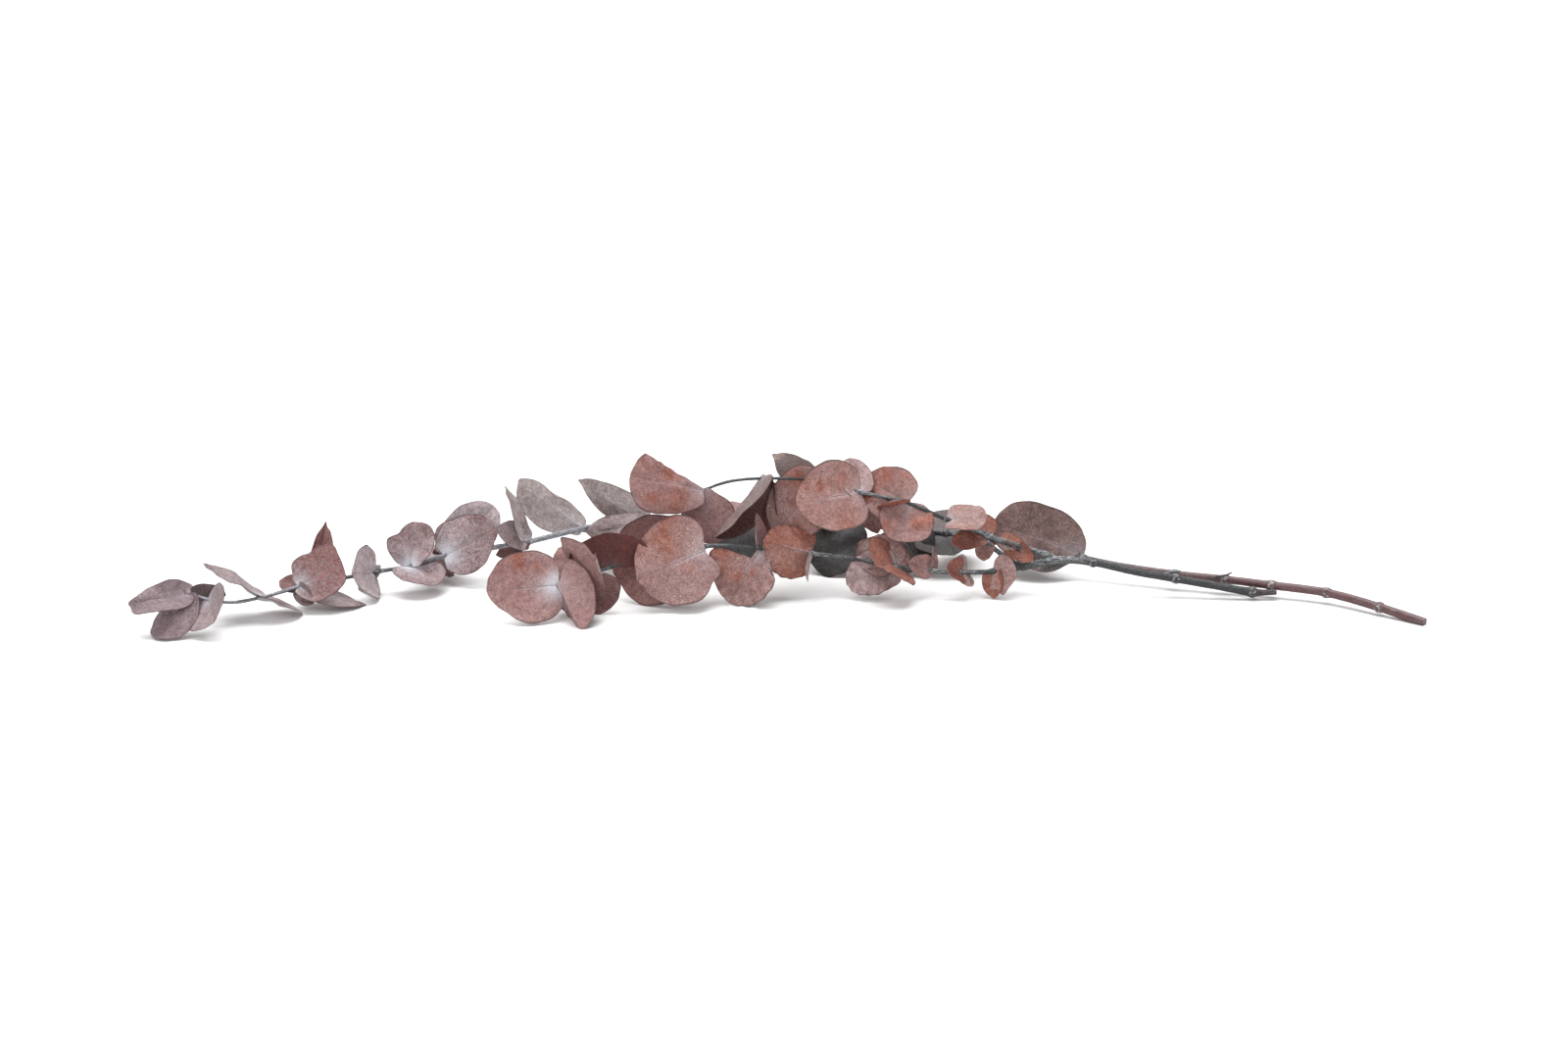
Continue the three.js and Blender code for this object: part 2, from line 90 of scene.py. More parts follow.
@dataclass(frozen=True)
class Eye:
    """Turns places and directions as they are seen into the frame's own axes."""

    look_down: float = math.radians(16)
    centre: Seen = (2.5, 9.5, 35.0)
    distance: float = 1556.0
    focal_length: float = 70.02

    def turn(self, seen: np.ndarray | Seen) -> np.ndarray:
        """Turns a direction, or rows of them.

        Args:
            seen: (right, up, back) in millimetres.

        Returns:
            The same in metres along the frame's axes.
        """
        right, up, back = np.moveaxis(np.asarray(seen, dtype=float), -1, 0)
        s = math.sin(self.look_down)
        c = math.cos(self.look_down)
        return MM * np.stack([right, up * s + back * c, up * c - back * s], axis=-1)

    def place(self, seen: np.ndarray | Seen) -> np.ndarray:
        """Gives the place of a seen point in the frame, in metres."""
        return self.turn(seen) + MM * np.array(self.centre)


EYE = Eye()


# ---- colours -------------------------------------------------------------------------------


def linear(red: int, green: int, blue: int) -> Colour:
    """Turns a display colour into the linear one that shaders use.

    Args:
        red, green, blue: Display values from 0 to 255.

    Returns:
        The linear colour, each value from 0 to 1.
    """
    return tuple(
        (v / 255 / 12.92) if v <= 10 else ((v / 255 + 0.055) / 1.055) ** 2.4
        for v in (red, green, blue)
    )


@dataclass(frozen=True)
class LeafLook:
    """How the faces of a leaf are coloured.

    ``tint`` is the leaf's own colour and ``patch`` the colour of its blotches.  ``net`` is how
    strongly pale veins show, ``bloom`` how much white wax lies at the base, ``speckle`` how
    strong the fine pale grain is, and ``pale`` how much paler the pale face is.
    """

    tint: Colour
    patch: Colour
    net: float = 0.1
    bloom: float = 0.2
    speckle: float = 0.5
    pale: float = 0.45


class Look(Enum):
    """The kinds of leaf on the branch."""

    TIP = LeafLook(linear(138, 119, 124), linear(100, 70, 72), net=0.12, bloom=0.1, speckle=0.9)
    FROSTED = LeafLook(linear(152, 134, 135), linear(114, 80, 78), net=0.35, bloom=0.5)
    NETTED = LeafLook(linear(156, 124, 124), linear(112, 62, 58), net=0.8, bloom=1.3)
    RUDDY = LeafLook(linear(138, 92, 88), linear(148, 84, 74), net=0.55, bloom=0.8)
    # A pale powdery tint, raised above the leaf's own colour as painted light for blades that lean back
    # into shade.
    POWDERED = LeafLook(linear(204, 190, 193), linear(142, 104, 100), net=0.4, bloom=0.3)
    LILAC = LeafLook(linear(160, 144, 145), linear(112, 86, 84), net=0.12, speckle=1.0, pale=0.3)
    BACK = LeafLook(linear(190, 178, 178), linear(132, 108, 104), net=0.15, speckle=1.0, pale=0.4)
    BLOOMED = LeafLook(linear(166, 128, 125), linear(156, 92, 74), speckle=0.8, bloom=1.0)
    ROSE = LeafLook(linear(158, 119, 116), linear(158, 92, 74), speckle=0.6)
    PINK = LeafLook(linear(162, 124, 119), linear(164, 94, 70), speckle=0.95)
    BLUSH = LeafLook(linear(172, 141, 137), linear(168, 104, 84), speckle=0.95, bloom=0.3)
    # A pale chalky tint, raised above the leaf's own colour as painted light where a blade lies in
    # another leaf's shade.
    CHALKY = LeafLook(linear(186, 160, 160), linear(168, 120, 110), speckle=1.0, bloom=0.3)
    RIDGED = LeafLook(linear(150, 114, 110), linear(170, 98, 74), speckle=1.2, bloom=0.3)
    RUST = LeafLook(linear(156, 92, 72), linear(180, 138, 128), net=0.0, speckle=0.6, bloom=0.1)
    RUSSET = LeafLook(linear(124, 76, 71), linear(146, 102, 96), net=0.2, speckle=0.3)
    # A dark red dye, darkened further as painted shade for blades deep in the bunch and inside folds.
    MAROON = LeafLook(linear(86, 36, 34), linear(112, 60, 52), net=0.0, speckle=0.12, bloom=0.05)
    FOLDED = LeafLook(linear(86, 44, 41), linear(104, 62, 56), net=0.0, speckle=0.3, pale=0.34)
    DUSK = LeafLook(linear(104, 82, 82), linear(84, 60, 59), speckle=0.4, pale=0.2)
    # The near-black patch colour of this look is painted shadow, laid where the stems cross the blade.
    SHADED = LeafLook(linear(138, 106, 100), linear(32, 26, 27), net=0.05, speckle=0.7, pale=0.2)
    CURLED = LeafLook(linear(68, 46, 47), linear(150, 130, 121), net=0.0, speckle=0.2, pale=0.1)
    TAUPE = LeafLook(linear(106, 94, 92), linear(92, 78, 76), speckle=0.3, pale=0.3)
    # Near-black blades whose colour is painted shade, for the deep shadow behind the lower twig.
    SMOKE = LeafLook(linear(56, 52, 53), linear(44, 41, 43), net=0.0, speckle=0.1, pale=0.1)


@dataclass(frozen=True)
class BarkLook:
    """How a stretch of stem is coloured, and how much white wax clings to it."""

    tint: Colour
    wax: float


class Bark(Enum):
    """The kinds of bark along the stems."""

    BROWN = BarkLook(linear(92, 54, 54), 0.14)
    DARK_BROWN = BarkLook(linear(64, 42, 42), 0.16)
    SLATE = BarkLook(linear(36, 37, 40), 0.13)
    THIN_SLATE = BarkLook(linear(54, 58, 58), 0.25)
    WHITE_SLATE = BarkLook(linear(50, 52, 53), 0.95)
    FROSTED = BarkLook(linear(112, 112, 120), 0.7)


# ---- what grows where ----------------------------------------------------------------------


@dataclass(frozen=True)
class Stop:
    """A point of a stem's route, with its radius in millimetres and the leaf node there."""

    right: float
    up: float
    back: float
    radius: float
    bark: Bark
    node: str = ""

    @property
    def seen(self) -> Seen:
        """Gives the point's place."""
        return self.right, self.up, self.back


Route = tuple[Stop, ...]


@dataclass(frozen=True)
class Patch:
    """A blotch on a leaf: its middle across and along the blade, its size and its strength."""

    across: float
    along: float
    size: float = 0.35
    strength: float = 1.0


@dataclass(frozen=True)
class Bump:
    """A place where a leaf's rim stands out, or in where ``grow`` is below 0.

    ``at`` is in degrees round the rim from the tip, above 0 on the right side and below 0 on
    the left, and 180 at the stalk.  ``width`` is how far it spreads, in degrees.
    """

    at: float
    grow: float
    width: float = 25


@dataclass(frozen=True)
class Crease:
    """A sharp fold along the straight line between two places on a leaf's rim.

    ``start`` and ``end`` are in degrees round the rim, as a bump's place is.  The part to the
    right of the line, going from ``start`` to ``end``, turns towards the upper face by
    ``turn`` degrees.
    """

    start: float
    end: float
    turn: float
    radius: float = 1.0


@dataclass(frozen=True)
class Gap:
    """A stretch of one half of a leaf that is torn away, back to near the midrib.

    ``start`` and ``end`` are in degrees round the rim, as a bump's place is.
    """

    start: float
    end: float
    depth: float = 0.9


@dataclass(frozen=True)
class Leaf:
    """One leaf: where it grows, which way it points and how it is bent.

    ``reach`` goes from the stalk to the tip and ``half`` from the midrib to the side that is
    on the right when the upper face is seen with the tip ahead.  ``fold`` lifts each half
    towards the upper face, ``cup`` rolls it on towards its edge and ``curl`` bends the tip
    up, in degrees.  ``heart`` is how far the lobes reach back beside the stalk, ``egg`` how
    much wider the leaf is near the stalk than near the tip and ``nib`` how far the tip is
    drawn out, as shares.  ``wave`` is the ripple of the rim, ``roll`` lifts the left and the
    right edge and ``pleat`` is the depth of folds along the side veins, in millimetres.
    ``pale_face`` is -1 where the underside is the paler face and 1 where the upper one is.
    ``patches`` are its blotches and ``rim`` the bumps and dents of its rim.  ``shift`` moves
    the whole blade off its node, in millimetres, and a stalk joins the two.
    """

    node: str
    reach: Seen
    half: Seen
    look: Look
    fold: float = 0
    cup: float = 0
    curl: float = 0
    heart: float = 0.16
    egg: float = 0.1
    nib: float = 0.035
    wave: float = 0.9
    roll: tuple[float, float] = (0, 0)
    pleat: float = 0
    pale_face: int = -1
    patches: tuple[Patch, ...] = ()
    rim: tuple[Bump, ...] = ()
    crease: Crease | None = None
    gap: Gap | None = None
    shift: Seen = (0, 0, 0)


MAIN_ROUTE = (
    Stop(315.7, -50.3, -53, 2.3, Bark.BROWN),
    Stop(296.3, -43.2, -38, 2.2, Bark.BROWN, "bare1"),
    Stop(273.4, -36.4, -20, 2.2, Bark.BROWN, "bare2"),
    Stop(246.9, -32.8, -10, 2.2, Bark.BROWN, "bare3"),
    Stop(224.4, -30.0, -4, 2.1, Bark.BROWN, "bare4"),
    Stop(200.0, -27.4, 3, 2.0, Bark.BROWN, "bare5"),
    Stop(173.9, -23.6, 12, 1.9, Bark.DARK_BROWN),
    Stop(154.5, -19.6, 19, 1.8, Bark.DARK_BROWN, "m14"),
    Stop(132.0, -14.4, 24, 2.0, Bark.SLATE, "m13"),
    Stop(84.0, -7.0, 32, 1.9, Bark.SLATE, "m12"),
    Stop(58.5, -3.8, 35, 1.9, Bark.SLATE, "m11b"),
    Stop(30.7, -1.0, 37, 1.8, Bark.SLATE, "m11"),
    Stop(-20.5, 2.0, 38, 1.7, Bark.THIN_SLATE, "m10"),
    Stop(-71.5, 0.2, 33, 1.6, Bark.THIN_SLATE, "m9"),
    Stop(-103.2, -4.0, 27, 1.5, Bark.FROSTED, "m8"),
    Stop(-131.7, -10.8, 20, 1.4, Bark.FROSTED, "m7"),
    Stop(-174.0, -18.1, 10, 1.3, Bark.FROSTED, "m6"),
    Stop(-191.0, -23.3, 2, 1.2, Bark.FROSTED, "m5"),
    Stop(-205.5, -25.8, -7, 1.1, Bark.THIN_SLATE, "m4"),
    Stop(-242.7, -33.3, -30, 1.0, Bark.FROSTED, "m3"),
    Stop(-259.3, -38.2, -45, 0.9, Bark.FROSTED, "m2"),
    Stop(-273.8, -40.3, -56, 0.9, Bark.FROSTED),
    Stop(-289.8, -36.0, -66, 0.8, Bark.FROSTED, "m1"),
)

SIDE_ROUTE = (
    Stop(249.0, -36.1, -13.7, 1.5, Bark.DARK_BROWN),
    Stop(242.5, -36.4, -13.4, 1.6, Bark.DARK_BROWN),
    Stop(237.0, -36.2, -13.2, 2.3, Bark.SLATE, "s3"),
    Stop(218.3, -33.0, -12, 2.0, Bark.SLATE),
    Stop(198.7, -29.5, -10, 2.1, Bark.SLATE, "s2"),
    Stop(179.0, -26.2, -9, 1.9, Bark.SLATE),
    Stop(156.7, -21.4, -8, 1.8, Bark.SLATE, "s1"),
    Stop(139.3, -20.0, -8, 2.0, Bark.WHITE_SLATE),
    Stop(120.4, -23.8, -8, 1.9, Bark.SLATE),
)

MAIN_STUBS = (
    (
        Stop(218.0, -29.8, -5, 0.9, Bark.DARK_BROWN),
        Stop(221.0, -28.3, -8, 0.7, Bark.DARK_BROWN),
        Stop(224.5, -27.6, -9, 0.5, Bark.DARK_BROWN),
        Stop(227.2, -26.3, -9, 0.3, Bark.DARK_BROWN),
    ),
    (
        Stop(194.5, -27.4, 2, 0.9, Bark.WHITE_SLATE),
        Stop(198.0, -26.0, 0, 0.8, Bark.WHITE_SLATE),
        Stop(202.0, -25.7, -1, 0.4, Bark.WHITE_SLATE),
    ),
    (
        Stop(-205.4, -25.9, -7, 0.8, Bark.FROSTED),
        Stop(-205.8, -24.4, -7.5, 1.0, Bark.FROSTED),
        Stop(-206.1, -23.1, -8, 0.4, Bark.FROSTED),
    ),
)

SPUR_ROUTE = (
    Stop(120.4, -23.8, -8, 1.6, Bark.SLATE),
    Stop(112.0, -18.2, -6, 1.5, Bark.SLATE, "v2"),
    Stop(103.0, -11.2, -2.5, 1.4, Bark.WHITE_SLATE, "v1"),
)

UPPER_ROUTE = (
    Stop(139.3, -20.0, -8, 1.9, Bark.WHITE_SLATE),
    Stop(134.0, -17.6, -7, 1.9, Bark.WHITE_SLATE),
    Stop(119.5, -13.4, -6, 1.8, Bark.SLATE, "u8"),
    Stop(103.0, -7.5, -7, 1.7, Bark.WHITE_SLATE, "u7"),
    Stop(82.5, 0.5, -9, 1.3, Bark.SLATE, "u6"),
    Stop(62.7, 8.8, -8, 1.2, Bark.SLATE, "u5"),
    Stop(38.8, 14.4, -6, 1.2, Bark.WHITE_SLATE, "u4"),
    Stop(18.9, 19.9, -5, 1.0, Bark.SLATE, "u3"),
    Stop(-7.5, 21.4, -8, 0.9, Bark.THIN_SLATE, "u2"),
    Stop(-27.3, 19.9, -9, 0.9, Bark.THIN_SLATE),
    Stop(-41.3, 15.4, -9, 0.8, Bark.THIN_SLATE, "u1"),
)

LOWER_ROUTE = (
    Stop(120.4, -23.8, -8, 1.6, Bark.SLATE),
    Stop(106.0, -25.9, -8, 1.5, Bark.SLATE, "l10"),
    Stop(90.5, -26.3, -9, 1.4, Bark.WHITE_SLATE, "l9"),
    Stop(74.5, -25.6, -10, 1.4, Bark.WHITE_SLATE, "l8"),
    Stop(56.6, -23.3, -11, 1.4, Bark.WHITE_SLATE, "l7"),
    Stop(35.2, -19.3, -13, 1.3, Bark.SLATE),
    Stop(13.9, -16.8, -15, 1.3, Bark.WHITE_SLATE, "l6"),
    Stop(-11.4, -13.8, -19, 1.2, Bark.SLATE, "l5"),
    Stop(-39.9, -13.0, -24, 1.2, Bark.THIN_SLATE, "l4"),
    Stop(-63.9, -18.7, -27, 1.1, Bark.SLATE),
    Stop(-87.1, -23.5, -32, 1.0, Bark.SLATE, "l3"),
    Stop(-99.0, -28.3, -38, 0.9, Bark.WHITE_SLATE, "l2"),
    Stop(-111.6, -32.0, -46, 0.8, Bark.WHITE_SLATE, "l1"),
)

MAIN_LEAVES = (
    Leaf("m1", (-28, -4.5, -4), (1.5, 7.2, 5), Look.TIP, cup=20, fold=8, nib=0.05,
         rim=(Bump(-60, 0.35, 40), Bump(30, -0.08))),
    Leaf("m1", (-13.5, -22.4, -10), (-9.5, 3.5, 5), Look.TIP, cup=-25, curl=10, egg=-0.2, nib=0,
         shift=(-1.2, 0.8, 0), patches=(Patch(0, 0, 0.4),)),
    Leaf("m1", (14.5, -0.5, 12), (1, -5.3, 3), Look.DUSK, cup=25),
    Leaf("m1", (5.8, -11.1, -14), (-9.5, -11.2, 3), Look.FROSTED, fold=10, cup=12, egg=-0.1,
         shift=(8.6, -2.2, 0), patches=(Patch(-0.6, 0, 0.3, 0.6),)),
    Leaf("m2", (-27, 15, -1), (1.5, 0.3, 12), Look.FROSTED, cup=14, fold=6, curl=-8, nib=0.06),
    Leaf("m2", (19, -7, 8), (4.2, -1.5, -12), Look.FROSTED, cup=8, heart=0.3),
    Leaf("m3", (22.5, 14.5, -8), (6, -12.5, -5), Look.RUDDY, cup=12, fold=5, egg=-0.12, wave=1.6,
         patches=(Patch(-0.7, 0.5, 0.45, 1.2), Patch(0.2, 1, 0.3)), nib=0,
         rim=(Bump(-24, 0.12, 14), Bump(-122, 0.14, 16), Bump(-78, -0.18), Bump(45, 0.08, 18))),
    Leaf("m3", (5, 30.5, 10), (5.2, -1.6, 3), Look.RUSSET, fold=14, egg=0.1, nib=0.08, heart=0.05,
         shift=(6.5, 0, 4)),
    Leaf("m3", (-10, 3, 2), (1, 4.5, 3), Look.RUSSET, cup=20),
    Leaf("m3", (8, -8, -5), (-4, -3, 3), Look.FROSTED, fold=20),
    Leaf("m3", (31, -8.5, 8), (3, -4.5, -11), Look.LILAC, cup=-10, curl=8, nib=0.05),
    Leaf("m4", (-8.5, 0.5, -20), (-2.5, 14, 2), Look.POWDERED, fold=8, heart=0.1, cup=8,
         shift=(-2, -1, 0), patches=(Patch(0.4, 0.4, 0.3, 0.7),)),
    Leaf("m4", (-12, -9, 10), (-3, 1.5, 5), Look.FROSTED, cup=20),
    Leaf("m5", (1.5, 22.5, 3), (12.4, 0.5, -2), Look.NETTED, cup=12, heart=0.1, egg=-0.2, fold=6,
         wave=1.4, patches=(Patch(-0.8, 0.6, 0.3, 1.2), Patch(0.7, 0.8, 0.3, 0.8)), nib=0,
         rim=(Bump(-42, -0.36, 26), Bump(-95, 0.08), Bump(28, 0.08))),
    Leaf("m5", (13.5, -9.5, -14), (-14, 1, -3), Look.NETTED, cup=14, nib=0,
         patches=(Patch(0.6, 0.5, 0.2), Patch(-0.5, 0.2, 0.25))),
    Leaf("m6", (-3, -9, 14), (-6, 5, 3), Look.RUSSET, cup=10),
    Leaf("m6", (26.5, 13.5, -7), (5, -14.5, -3), Look.NETTED, cup=10, fold=6, egg=-0.05, wave=1.5,
         patches=(Patch(-0.6, 0.9, 0.35), Patch(0.8, 0.4, 0.3, 0.8), Patch(0.2, 1, 0.2)), nib=0,
         rim=(Bump(-118, 0.13, 20), Bump(0, 0.05, 12), Bump(50, -0.08))),
    Leaf("m6", (23.5, 25.5, 8), (12, -5.8, 2), Look.POWDERED, cup=10, egg=-0.1, nib=0,
         shift=(0.8, 0, 0)),
    Leaf("m7", (-15.5, 7, -5), (3.5, 5.8, 5), Look.LILAC, cup=16),
    Leaf("m7", (-17, -7, 5), (2, 5, 4), Look.MAROON, cup=12),
    Leaf("m7", (-9.5, 27, 3), (2.2, 0.6, 12), Look.BACK, cup=12, curl=-10, shift=(-2.5, 1, 0)),
    Leaf("m8", (-34, 23, 4), (-7.5, -12.5, 5), Look.BACK, cup=18, fold=6, egg=-0.1, nib=0,
         rim=(Bump(-125, -0.4, 34), Bump(-68, -0.6, 34), Bump(130, -0.28, 28), Bump(-9, 0.08, 12)),
         shift=(-1.2, 0, 0)),
    Leaf("m9", (-34, 19.5, 4), (-6.5, -11.5, 6), Look.BACK, cup=14, curl=10, egg=0.12, nib=0.05,
         crease=Crease(180, -8, 30, 2.5), patches=(Patch(0.6, 0.5, 0.4, 1.8),), shift=(-1, 0, 0),
         gap=Gap(-172, -8, 0.35)),
    Leaf("m9", (-28, -4.5, -8), (1, 7.5, 4), Look.LILAC, cup=16, shift=(-1.5, -2, -3)),
    # The near-black blades at m10, m11, m12 and m11b are painted shade: they fill the deep shadow behind
    # the lower twig.
    Leaf("m10", (-5, -27, -12), (-13, 1, 4), Look.SMOKE, cup=14),
    Leaf("m11", (-8, -28, -12), (-15, 4, 4), Look.SMOKE, cup=14),
    Leaf("m12", (-4, 12, 12), (17, 4, 2), Look.TAUPE, cup=12),
    Leaf("m12", (4, -10, -14), (-18, -1, 2), Look.SMOKE, cup=14),
    Leaf("m11b", (14, -21, -13), (-15, -4, 2), Look.SMOKE, cup=14),
    Leaf("m13", (-14, 16, 22), (12, 5, 5), Look.DUSK, cup=14),
    # Both patches of this blade take the near-black patch colour: painted shadow where the stems cross
    # its lower edge.
    Leaf("m14", (-46, 17, 6), (6, 16.8, 4), Look.SHADED, cup=18, curl=-10, egg=-0.12, nib=0,
         shift=(0, 1.6, 0), patches=(Patch(-0.8, 0.26, 0.22, 3.5), Patch(-0.7, 0.7, 0.12, 0.8)),
         rim=(Bump(-140, -0.3, 28), Bump(148, -0.14, 26), Bump(-60, -0.1))),
    Leaf("m10", (6, 6, 34), (16, -2, 0), Look.ROSE, cup=16),
    Leaf("m11", (-12, 2, 33), (14, 3, 5), Look.PINK, cup=14, curl=14),
    Leaf("m8", (10, -6, 30), (14, -2, -5), Look.LILAC, cup=14),
    Leaf("m12", (10, 4, 32), (14, -2, -4), Look.ROSE, cup=14, curl=-12),
    Leaf("m6", (-8, 4, 26), (12, 2, 4), Look.NETTED, cup=14),
)

UPPER_LEAVES = (
    Leaf("u1", (-36.5, 6.8, -7), (-4, 15.5, 3), Look.ROSE, cup=8, fold=4, egg=-0.22, nib=0,
         crease=Crease(180, 43, -150), rim=(Bump(-30, 0.05), Bump(-60, 0.08), Bump(50, 0.04, 10)),
         patches=(Patch(-0.55, 0.35, 0.22, 1.3), Patch(-0.6, 0.7, 0.16, 1.2),
                  Patch(-0.2, 0.25, 0.14, 1.4), Patch(0.5, 0.8, 0.25), Patch(0.3, 0.5, 0.2))),
    Leaf("u1", (6, -27, 3), (-12.5, -4, 4), Look.ROSE, cup=-12, fold=6, egg=-0.1, nib=0,
         rim=(Bump(-135, -0.2), Bump(-88, 0.06, 15))),
    Leaf("u2", (-24, -30, -6), (-4.0, 3.2, -14.2), Look.FOLDED, fold=38, shift=(-2.5, 1, 0),
         patches=(Patch(0.5, 0.75, 0.3),)),
    Leaf("u2", (2, -32, 9), (-6, 1, 8), Look.MAROON, fold=14, shift=(0, 0, 7)),
    Leaf("u3", (-23.5, -26, 3), (-12, 12.5, 2), Look.PINK, cup=16, nib=0,
         patches=(Patch(0.6, 0.2, 0.3), Patch(0.2, 0.5, 0.1, 0.8), Patch(-0.5, 0.7, 0.2, 0.6)),
         shift=(0, 0, -2)),
    Leaf("u3", (-22, 13.5, 7), (4, 7, 10), Look.CURLED, cup=-34, curl=-14, nib=0.1,
         shift=(-0.5, 0, 9), patches=(Patch(0, 1.1, 0.2, 2.5),)),
    Leaf("u4", (-32, -6.4, -10), (-2, 18.3, 4), Look.PINK, cup=12, nib=0,
         patches=(Patch(0.3, 0.25, 0.16, 1.3), Patch(0.4, 0.55, 0.16, 1.3), Patch(0.48, 0.85, 0.14),
                  Patch(-0.8, 0.4, 0.2, 0.6), Patch(-0.3, 0.15, 0.15, 0.7))),
    Leaf("u4", (-5.5, 17.5, 7), (8, 2.5, 3), Look.CHALKY, cup=10, nib=0, rim=(Bump(45, 0.06),)),
    Leaf("u4", (9, -20, 4), (-7, -3, 3), Look.RUSSET, cup=12, shift=(0, 0, 4)),
    Leaf("u5", (-21.5, 12.5, 8), (13, 6.5, -1), Look.PINK, cup=12, nib=0,
         patches=(Patch(0.5, 0.7, 0.25), Patch(-0.5, 0.8, 0.3), Patch(0.9, 0.3, 0.15, 0.8))),
    Leaf("u5", (-15.5, -2, -4), (0.7, 2.8, -7), Look.RUST, cup=14, patches=(Patch(-0.5, 0.5, 0.3),)),
    Leaf("u5", (-2, -20, -9), (-14.4, 1, -2), Look.PINK, cup=14, egg=-0.1, nib=0,
         patches=(Patch(-0.45, 0.45, 0.22, 1.2), Patch(-0.8, 0.3, 0.2), Patch(0.8, 0.7, 0.2))),
    Leaf("u6", (20, 0.6, -6), (0.5, -7, -8), Look.BLUSH, cup=16, nib=0, heart=0.08, egg=0,
         patches=(Patch(0.9, 0.5, 0.3), Patch(0.8, 0.1, 0.25), Patch(-0.8, 0.4, 0.2, 0.7))),
    Leaf("u7", (-5, 10, 6), (7.6, 2, 1), Look.RUST, cup=44),
    Leaf("u7", (-17, -3.5, -7), (0.5, 5, 6), Look.RUST, cup=34, curl=24, heart=0.06,
         shift=(-1, -1.2, 0), patches=(Patch(0.2, 0.5, 0.2, 0.5),)),
    Leaf("u8", (-9, 6, 4), (3.4, 2.2, 3), Look.RUST, cup=56),
    Leaf("u8", (6, -7, -6), (-3.3, -3.3, 2), Look.RUST, cup=50, patches=(Patch(0, 0.5, 0.3, 0.6),)),
)

